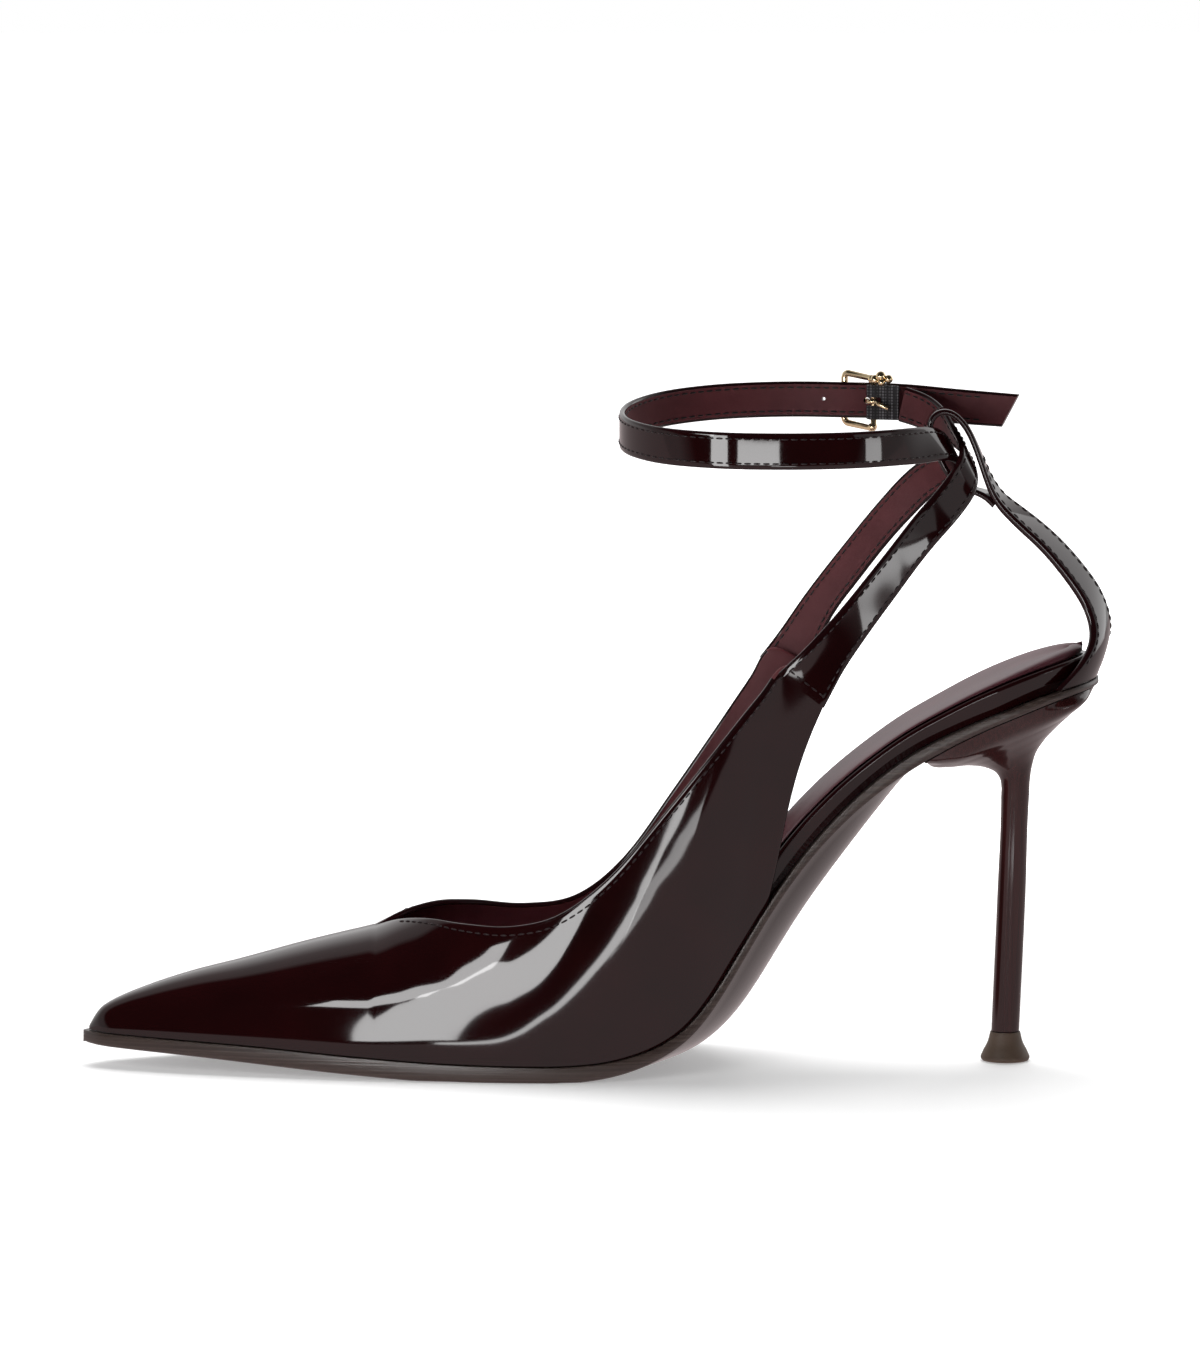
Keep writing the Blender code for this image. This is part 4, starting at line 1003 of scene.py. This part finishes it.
def back_strap(surfaces):
    """Sling strap, wrapped round the heel at its foot and folded into a loop, and its stitch lines."""
    rows = table(SLING_COLUMNS, SLING_ROWS + LOOP_END_ROWS)
    points, tangents, samples = sampled_path(rows, SLING_RINGS)
    rings = []
    seams = []
    for i, (point, tangent) in enumerate(zip(points, tangents)):
        wide = turned(np.array([0, 1.0, 0]), tangent, samples["twist"][i])
        face = np.cross(wide, tangent)
        cup = max(samples["cup"][i], 0)
        half = samples["width"][i] / 2
        thick = samples["thick"][i]

        def spot(u, w):
            fall, slope = seat_round(u)
            out = face + wide * slope * cup
            out /= np.linalg.norm(out)
            return point + wide * u - np.array([1, 0, SEAT_PITCH]) * fall * cup + out * w, out

        section = strap_profile(half, thick, SLING_CROWN)
        rings.append(np.array([spot(u, w)[0] for u, w, kind in section]))
        seams.append([spot(edge * (half - STRAP_STITCH_INSET), thick / 2) for edge in (-1, 1)])
    kinds = [kind for u, w, kind in section]
    points, faces, face_kinds = loft(rings, kinds, cap=EDGE)
    lines = [tuple(zip(*(pair[edge] for pair in seams[SLING_SEAM]))) for edge in (0, 1)]
    return make_object("strap_sling", points, faces, surfaces, face_kinds), lines


def buckle_point(along, out, up):
    """Point in the buckle's own axes."""
    angle = math.radians(BUCKLE_TURN)
    x = BUCKLE_PLACE[0] + along * math.cos(angle) - out * math.sin(angle)
    y = BUCKLE_PLACE[1] + along * math.sin(angle) + out * math.cos(angle)
    return np.array([x, y, BUCKLE_PLACE[2] + up])


def elastic_tab(surface):
    """Elastic from the inner strap's end, folded round the buckle's bar, with a slot for the prong."""
    turns = np.radians(np.linspace(-80, -280, 15))
    fold = np.stack([np.cos(turns), np.sin(turns)], axis=1) * ELASTIC_BEND + HINGE_BAR
    plan = np.concatenate([ELASTIC_INSIDE, fold, ELASTIC_OUTSIDE])
    ways = np.gradient(plan, axis=0)
    ways /= np.linalg.norm(ways, axis=1)[:, None]
    half = ELASTIC_WIDTH / 2
    rings = []
    for spot, way in zip(plan, ways):
        side = np.array([-way[1], way[0]]) * ELASTIC_THICKNESS / 2
        ring = [buckle_point(*(spot + s * side), u * half - ELASTIC_DROP) for s, u in ELASTIC_SECTION]
        rings.append(np.array(ring))
    item = make_object("elastic_band", *loft(rings)[:2], [surface])

    reach = ELASTIC_BEND + ELASTIC_THICKNESS
    inside = HINGE_BAR[1] - reach
    outside = HINGE_BAR[1] + reach
    corners = [(-reach, inside), (SLOT_END, inside), (SLOT_END, outside), (-reach, outside)]
    heights = (-SLOT_HEIGHT / 2, SLOT_HEIGHT / 2)
    levels = [np.array([buckle_point(*corner, height) for corner in corners]) for height in heights]
    cut_out(item, make_object("slot", *loft(levels)[:2], []))
    return item


def buckle_frame(surface):
    """Wire frame: front bar, two rails, and a thinner hinge bar between two knobs."""
    hinge = np.array(HINGE_BAR)
    reach = np.array(FRONT_BAR) - hinge
    span = np.linalg.norm(reach)
    line = []
    radii = []
    for corner, (at_front, side) in enumerate([(True, 1), (False, 1), (False, -1), (True, -1)]):
        centre_u = span - FRAME_CORNER if at_front else FRAME_CORNER
        centre_v = side * (RAIL_HEIGHT - FRAME_CORNER)
        for turn in np.linspace(0, 90, 11):
            angle = math.radians(90 * corner + turn)
            u = centre_u + FRAME_CORNER * math.cos(angle)
            v = centre_v + FRAME_CORNER * math.sin(angle)
            line.append(buckle_point(*(hinge + reach * u / span), v + FRAME_TILT * (u - span / 2)))
            knob = BAR_RADIUS + (KNOB_RADIUS - BAR_RADIUS) * math.sin(math.radians(2 * turn))
            radii.append(RAIL_RADIUS if at_front else knob)
    wide = buckle_point(*reach, 0) - buckle_point(0, 0, 0)
    plane_normal = np.cross(wide / span, (0, 0, 1.0))
    angles = np.arange(16) * math.pi / 8
    rings = []
    for i, (point, radius) in enumerate(zip(line, radii)):
        way = line[(i + 1) % len(line)] - line[i - 1]
        side = np.cross(plane_normal, way / np.linalg.norm(way))
        circle = np.outer(np.cos(angles), side) + np.outer(np.sin(angles), plane_normal)
        rings.append(point + radius * circle)
    return make_object("buckle_wire", *loft(rings, closed=True)[:2], [surface])


def buckle_knobs(surface):
    """Cluster of plain round knobs on the corner of the frame."""
    turns = np.radians(np.linspace(4, 176, 13))
    balls = []
    for along, out, up, radius in KNOBS:
        axis = np.outer(-radius * np.cos(turns), (1.0, 0, 0)) + buckle_point(along, out, up)
        balls.append(loft(tube(axis, radius * np.sin(turns), 20)))
    return make_object("buckle_knobs", *merged(balls), [surface])


def buckle_prong(surface):
    """Tongue with its tail on the elastic, hooked on the hinge bar and resting on the front bar."""
    turns = np.radians(np.linspace(-75, -180, 9))
    hook = np.stack([np.cos(turns), np.sin(turns)], axis=1) * PRONG_BEND + HINGE_BAR
    spots = np.array(PRONG_TAIL + [(along, out, 0) for along, out in [*hook, *PRONG_ROWS]])
    knots = distances(spots)
    at = np.linspace(0, knots[-1], PRONG_RINGS)
    places = zip(*(smooth(knots, column, at) for column in spots.T))
    line = np.array([buckle_point(*spot) for spot in places])
    taper = np.sqrt((knots[-1] - at + PRONG_BLUNT) / PRONG_TAPER).clip(PRONG_TIP, 1)
    return make_object("buckle_tongue", *loft(tube(line, PRONG_RADIUS * taper, 14))[:2], [surface])


def stitches(name, lines, surface):
    """Rows of thread along lines; each line is its points and the outward directions there."""
    rounds = np.radians(np.arange(6) * 60)
    threads = []
    for line, outs in lines:
        line = np.array(line)
        outs = np.array(outs)
        knots = distances(line)
        count = max(int(knots[-1] / STITCH_PITCH), 1)
        for at in (np.arange(count) + 0.5) * knots[-1] / count:
            start, end = between(at + np.array([-STITCH_CHORD, STITCH_CHORD]), knots, line)
            way = (end - start) / np.linalg.norm(end - start)
            out = between(at, knots, outs)
            out -= way * out.dot(way)
            out /= np.linalg.norm(out)
            side = np.cross(way, out)
            circle = np.outer(np.cos(rounds), side) + np.outer(np.sin(rounds), out)
            rings = []
            for s, girth in STITCH_FORM:
                lift = STITCH_BOW * (1 - s * s) - STITCH_SINK
                middle = (start + end) / 2 + way * s * STITCH_LENGTH / 2 + out * lift
                rings.append(middle + girth * STITCH_RADIUS * circle)
            threads.append(loft(rings))
    return make_object(name, *merged(threads), [surface], crease=70)


def upper_seams(skin):
    """Stitch lines of the upper, along the topline of each side."""
    lines = []
    for strips in (skin.inner, skin.outer):
        places = []
        for strip in strips[UPPER_SEAM_START:]:
            line = skin.points[strip[::-1]]
            outs = skin.normals[strip[::-1]]
            knots = distances(line)
            places.append([between(STITCH_INSET, knots, values) for values in (line, outs)])
        lines.append(tuple(zip(*places)))
    return lines


def strap_seams(frames, end=None):
    """Stitch lines near both edges of a strap, on both of its faces, and one across its foot."""
    points, wides, outs = (frames[STRAP_SEAM_START:end, i] for i in range(3))
    halves = np.linalg.norm(wides, axis=1)
    share = ((halves - STRAP_STITCH_INSET) / halves)[:, None]
    lines = []
    for face in (1, -1):
        for edge in (-1, 1):
            lines.append((points + wides * share * edge + outs * face, outs * face))
    return lines + [cross_seam(*frames[CROSS_SEAM_RING])]


def cross_seam(point, wide, out):
    """Stitch line across a strap."""
    shares = np.linspace(-CROSS_SEAM_REACH, CROSS_SEAM_REACH, 9)
    return point + np.outer(shares, wide) + out, np.tile(out, (len(shares), 1))


def new_material(name, colour, roughness, metallic=0.0):
    """Principled surface, with its shader and node tree."""
    surface = bpy.data.materials.new(name)
    surface.use_nodes = True
    shader = surface.node_tree.nodes["Principled BSDF"]
    shader.inputs["Base Color"].default_value = (*colour, 1)
    shader.inputs["Roughness"].default_value = roughness
    shader.inputs["Metallic"].default_value = metallic
    return surface, shader, surface.node_tree


def grain(tree, scale, stretch=(1, 1, 1), detail=2.0):
    """Noise over the object, in metres; returns its value."""
    nodes = tree.nodes
    place_node = nodes.new("ShaderNodeTexCoord")
    mapping = nodes.new("ShaderNodeMapping")
    noise = nodes.new("ShaderNodeTexNoise")
    mapping.inputs["Scale"].default_value = stretch
    noise.inputs["Scale"].default_value = scale
    noise.inputs["Detail"].default_value = detail
    tree.links.new(place_node.outputs["Object"], mapping.inputs["Vector"])
    tree.links.new(mapping.outputs["Vector"], noise.inputs["Vector"])
    return noise.outputs["Fac"]


def bumped(tree, shader, height, strength, distance):
    """Bump the surface by a height."""
    bump = tree.nodes.new("ShaderNodeBump")
    bump.inputs["Strength"].default_value = strength
    bump.inputs["Distance"].default_value = distance
    tree.links.new(height, bump.inputs["Height"])
    tree.links.new(bump.outputs["Normal"], shader.inputs["Normal"])
    return bump


def shaded(tree, socket, value, stops):
    """Colour a socket by a value through a ramp of stops."""
    ramp = tree.nodes.new("ShaderNodeValToRGB")
    while len(ramp.color_ramp.elements) < len(stops):
        ramp.color_ramp.elements.new(0.5)
    for element, (position, colour) in zip(ramp.color_ramp.elements, stops):
        element.position = position
        element.color = (*colour, 1)
    tree.links.new(value, ramp.inputs["Fac"])
    tree.links.new(ramp.outputs["Color"], socket)


def patent(name, deep, light, roughness, ripple):
    """Patent leather: deep colour under a wet gloss with a slow ripple."""
    surface, shader, tree = new_material(name, deep, roughness)
    shaded(tree, shader.inputs["Base Color"], grain(tree, 60), [(0.3, deep), (0.7, light)])
    bumped(tree, shader, grain(tree, 95, detail=0.0), ripple, 0.001)
    return surface


def leather(name, deep, light, roughness, bump, specular):
    """Matte leather with a fine grain."""
    surface, shader, tree = new_material(name, deep, roughness)
    shader.inputs["Specular IOR Level"].default_value = specular
    fine = grain(tree, 1400, detail=4.0)
    shaded(tree, shader.inputs["Base Color"], grain(tree, 120), [(0.3, deep), (0.7, light)])
    bumped(tree, shader, fine, bump, 0.0002)
    return surface


def streaked(name, deep, light, roughness, stretch, bump):
    """Surface with fine streaks along one direction."""
    surface, shader, tree = new_material(name, deep, roughness)
    streaks = grain(tree, 1, stretch, 3.0)
    shaded(tree, shader.inputs["Base Color"], streaks, [(0.35, deep), (0.72, light)])
    bumped(tree, shader, streaks, bump, 0.0002)
    return surface


def woven(name):
    """Elastic tape: rows of small pale dots on charcoal."""
    surface, shader, tree = new_material(name, (0.012, 0.012, 0.014), 0.75)
    place_node = tree.nodes.new("ShaderNodeTexCoord")
    dots = tree.nodes.new("ShaderNodeTexVoronoi")
    dots.inputs["Scale"].default_value = 1350
    dots.inputs["Randomness"].default_value = 0.0
    tree.links.new(place_node.outputs["Object"], dots.inputs["Vector"])
    stops = [(0.2, (0.16, 0.16, 0.17)), (0.5, (0.011, 0.011, 0.013))]
    shaded(tree, shader.inputs["Base Color"], dots.outputs["Distance"], stops)
    bump = bumped(tree, shader, dots.outputs["Distance"], 0.5, 0.0003)
    bump.invert = True
    return surface


PATENT = patent("patent_leather", (0.0090, 0.0008, 0.0011), (0.0140, 0.0013, 0.0017), 0.055, 0.05)
EDGE_PAINT = patent("edge_paint", (0.009, 0.0015, 0.002), (0.014, 0.002, 0.003), 0.12, 0.03)
LINING = leather("lining_leather", (0.090, 0.020, 0.024), (0.115, 0.027, 0.032), 0.6, 0.25, 0.3)
SOCK = leather("sock_leather", (0.062, 0.019, 0.025), (0.078, 0.025, 0.032), 0.36, 0.2, 0.24)
SOLE_EDGE = streaked("sole_edge", (0.030, 0.019, 0.016), (0.065, 0.047, 0.040), 0.34, (25, 25, 2600), 0.5)
TREAD = streaked("sole_tread", (0.016, 0.009, 0.008), (0.024, 0.014, 0.012), 0.14, (60, 60, 60), 0.05)
HEEL_COVER = streaked("heel_cover", (0.022, 0.004, 0.004), (0.042, 0.01, 0.01), 0.12, (1100, 1100, 12), 0.06)
TOP_PIECE = leather("top_piece", (0.080, 0.054, 0.036), (0.105, 0.072, 0.050), 0.6, 0.3, 0.5)
ELASTIC = woven("elastic_weave")
GOLD = new_material("pale_gold", (0.86, 0.68, 0.42), 0.16, 1.0)[0]
THREAD = new_material("thread", (0.010, 0.003, 0.004), 0.5)[0]

skin = Skin()
ankle_piece, ankle_frames = ankle_strap([PATENT, LINING, EDGE_PAINT])
inner_piece, inner_frames = inner_strap([PATENT, LINING, EDGE_PAINT])
sling_piece, sling_seams = back_strap([PATENT, PATENT, EDGE_PAINT])
sock_piece = sock(SOCK)

pieces = [
    (outsole(SOLE_EDGE, TREAD), "outsole", "sole_leather"),
    (footbed(PATENT), "footbed", "patent"),
    (sock_piece, "sock", "lining"),
    (upper(skin, [PATENT, LINING, EDGE_PAINT]), "upper", "patent"),
    (heel(HEEL_COVER), "heel", "heel_cover"),
    (heel_tip(TOP_PIECE), "heel_tip", "top_piece"),
    (sling_piece, "back_strap", "patent"),
    (inner_piece, "inner_strap", "patent"),
    (ankle_piece, "ankle_strap", "patent"),
    (elastic_tab(ELASTIC), "elastic_tab", "elastic"),
    (buckle_frame(GOLD), "buckle_frame", "gold"),
    (buckle_prong(GOLD), "buckle_prong", "gold"),
]
for piece, node, slot in pieces:
    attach(piece, "root")
    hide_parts(node)
knobs = buckle_knobs(GOLD)
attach(knobs, "root")

seams = [
    ("stitches_upper", upper_seams(skin)),
    ("stitches_sling", sling_seams),
    ("stitches_inner", strap_seams(inner_frames)),
    ("stitches_ankle", strap_seams(ankle_frames, -FREE_END_RINGS)),
]
for name, lines in seams:
    thread = stitches(name, lines, THREAD)
    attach(thread, "root")


def greys(shades):
    """Stops of a ramp of greys."""
    return [(position, (level,) * 3) for position, level in shades]


def seen_apart(tree, seen, others, out):
    """Show one shader to the camera and another to all other rays."""
    rays = tree.nodes.new("ShaderNodeLightPath")
    mix = tree.nodes.new("ShaderNodeMixShader")
    tree.links.new(rays.outputs["Is Camera Ray"], mix.inputs["Fac"])
    tree.links.new(others, mix.inputs[1])
    tree.links.new(seen, mix.inputs[2])
    tree.links.new(mix.outputs["Shader"], out.inputs["Surface"])


def studio_floor():
    """Plain white table, shaded near the shoe, which mirrors it dimmer; its front edge is out of sight."""
    mesh = bpy.data.meshes.new("floor")
    front = [(-FLOOR_REACH, -FLOOR_FRONT), (FLOOR_REACH, -FLOOR_FRONT)]
    back = [(FLOOR_REACH, FLOOR_REACH), (-FLOOR_REACH, FLOOR_REACH)]
    mesh.from_pydata([(x, y, -FLOOR_DROP) for x, y in front + back], [], [(0, 1, 2, 3)])
    surface, shader, tree = new_material("floor_white", (0.8, 0.8, 0.8), 0.6)
    shader.inputs["Specular IOR Level"].default_value = 0.1
    shader.inputs["Emission Strength"].default_value = 1.0
    spot = tree.nodes.new("ShaderNodeTexCoord")
    away = tree.nodes.new("ShaderNodeVectorMath")
    away.operation = "LENGTH"
    tree.links.new(spot.outputs["Object"], away.inputs[0])
    shaded(tree, shader.inputs["Emission Color"], away.outputs["Value"], greys(FLOOR_SHADES))
    glow = tree.nodes.new("ShaderNodeEmission")
    glow.inputs["Color"].default_value = FLOOR_GLOW
    glow.inputs["Strength"].default_value = FLOOR_GLOW_STRENGTH
    seen_apart(tree, shader.outputs["BSDF"], glow.outputs["Emission"], tree.nodes["Material Output"])
    mesh.materials.append(surface)
    floor = bpy.data.objects.new("floor", mesh)
    bpy.context.scene.collection.objects.link(floor)


def direction(azimuth, elevation):
    """Unit vector from the shoe: azimuth 0 towards the camera, positive to its left."""
    a, e = math.radians(azimuth), math.radians(elevation)
    return np.array([-math.sin(a) * math.cos(e), -math.cos(a) * math.cos(e), math.sin(e)])


def studio_world():
    """Light surroundings, dark behind the camera, and a white backdrop."""
    world = bpy.data.worlds.new("studio")
    bpy.context.scene.world = world
    world.use_nodes = True
    tree = world.node_tree
    tree.nodes.clear()
    out = tree.nodes.new("ShaderNodeOutputWorld")
    around = tree.nodes.new("ShaderNodeBackground")
    backdrop = tree.nodes.new("ShaderNodeBackground")
    backdrop.inputs["Color"].default_value = (1, 1, 1, 1)
    spot = tree.nodes.new("ShaderNodeTexCoord")
    dot = tree.nodes.new("ShaderNodeVectorMath")
    dot.operation = "DOT_PRODUCT"
    dot.inputs[1].default_value = direction(0, 45)
    tree.links.new(spot.outputs["Generated"], dot.inputs[0])
    share = tree.nodes.new("ShaderNodeMath")
    share.operation = "MULTIPLY_ADD"
    share.inputs[1].default_value = 0.5
    share.inputs[2].default_value = 0.5
    tree.links.new(dot.outputs["Value"], share.inputs[0])
    shaded(tree, around.inputs["Color"], share.outputs["Value"], greys(WORLD_SHADES))
    seen_apart(tree, backdrop.outputs["Background"], around.outputs["Background"], out)


def softbox(name, azimuth, elevation, distance, width, height, radiance, roll, target):
    """Rectangular light of that radiance, facing the target."""
    data = bpy.data.lights.new(name, "AREA")
    data.shape = "RECTANGLE"
    data.size = width
    data.size_y = height
    data.energy = radiance * math.pi * width * height
    lamp = bpy.data.objects.new(name, data)
    lamp.location = np.array(target) + direction(azimuth, elevation) * distance
    lamp.rotation_euler = aimed(lamp.location, target, roll)
    bpy.context.scene.collection.objects.link(lamp)
    return lamp


def aimed(start, target, roll=0):
    """Turn that looks from one point at another, upright but for its roll."""
    way = mathutils.Vector(target) - mathutils.Vector(start)
    spin = mathutils.Quaternion((0, 0, 1), math.radians(roll))
    return (way.to_track_quat("-Z", "Y") @ spin).to_euler()


def photo_camera():
    """Camera at the photograph's angle: level with the straps, a little above."""
    elevation = 6.4
    distance = 1.8
    picture_height = 0.343
    sensor = 36.0
    target = place((0, 0, 94.5))
    data = bpy.data.cameras.new("camera")
    data.sensor_width = sensor
    data.lens = sensor * distance / picture_height
    camera = bpy.data.objects.new("camera", data)
    camera.location = target + direction(0, elevation) * distance
    camera.rotation_euler = aimed(camera.location, target)
    bpy.context.scene.collection.objects.link(camera)
    bpy.context.scene.camera = camera


studio_floor()
studio_world()
lamps = {name: softbox(name, *values) for name, values in LIGHTS.items()}

# The light from above fills in and isn't mirrored
lamps["top_fill"].visible_glossy = False
photo_camera()
bpy.context.scene.view_settings.view_transform = "Standard"
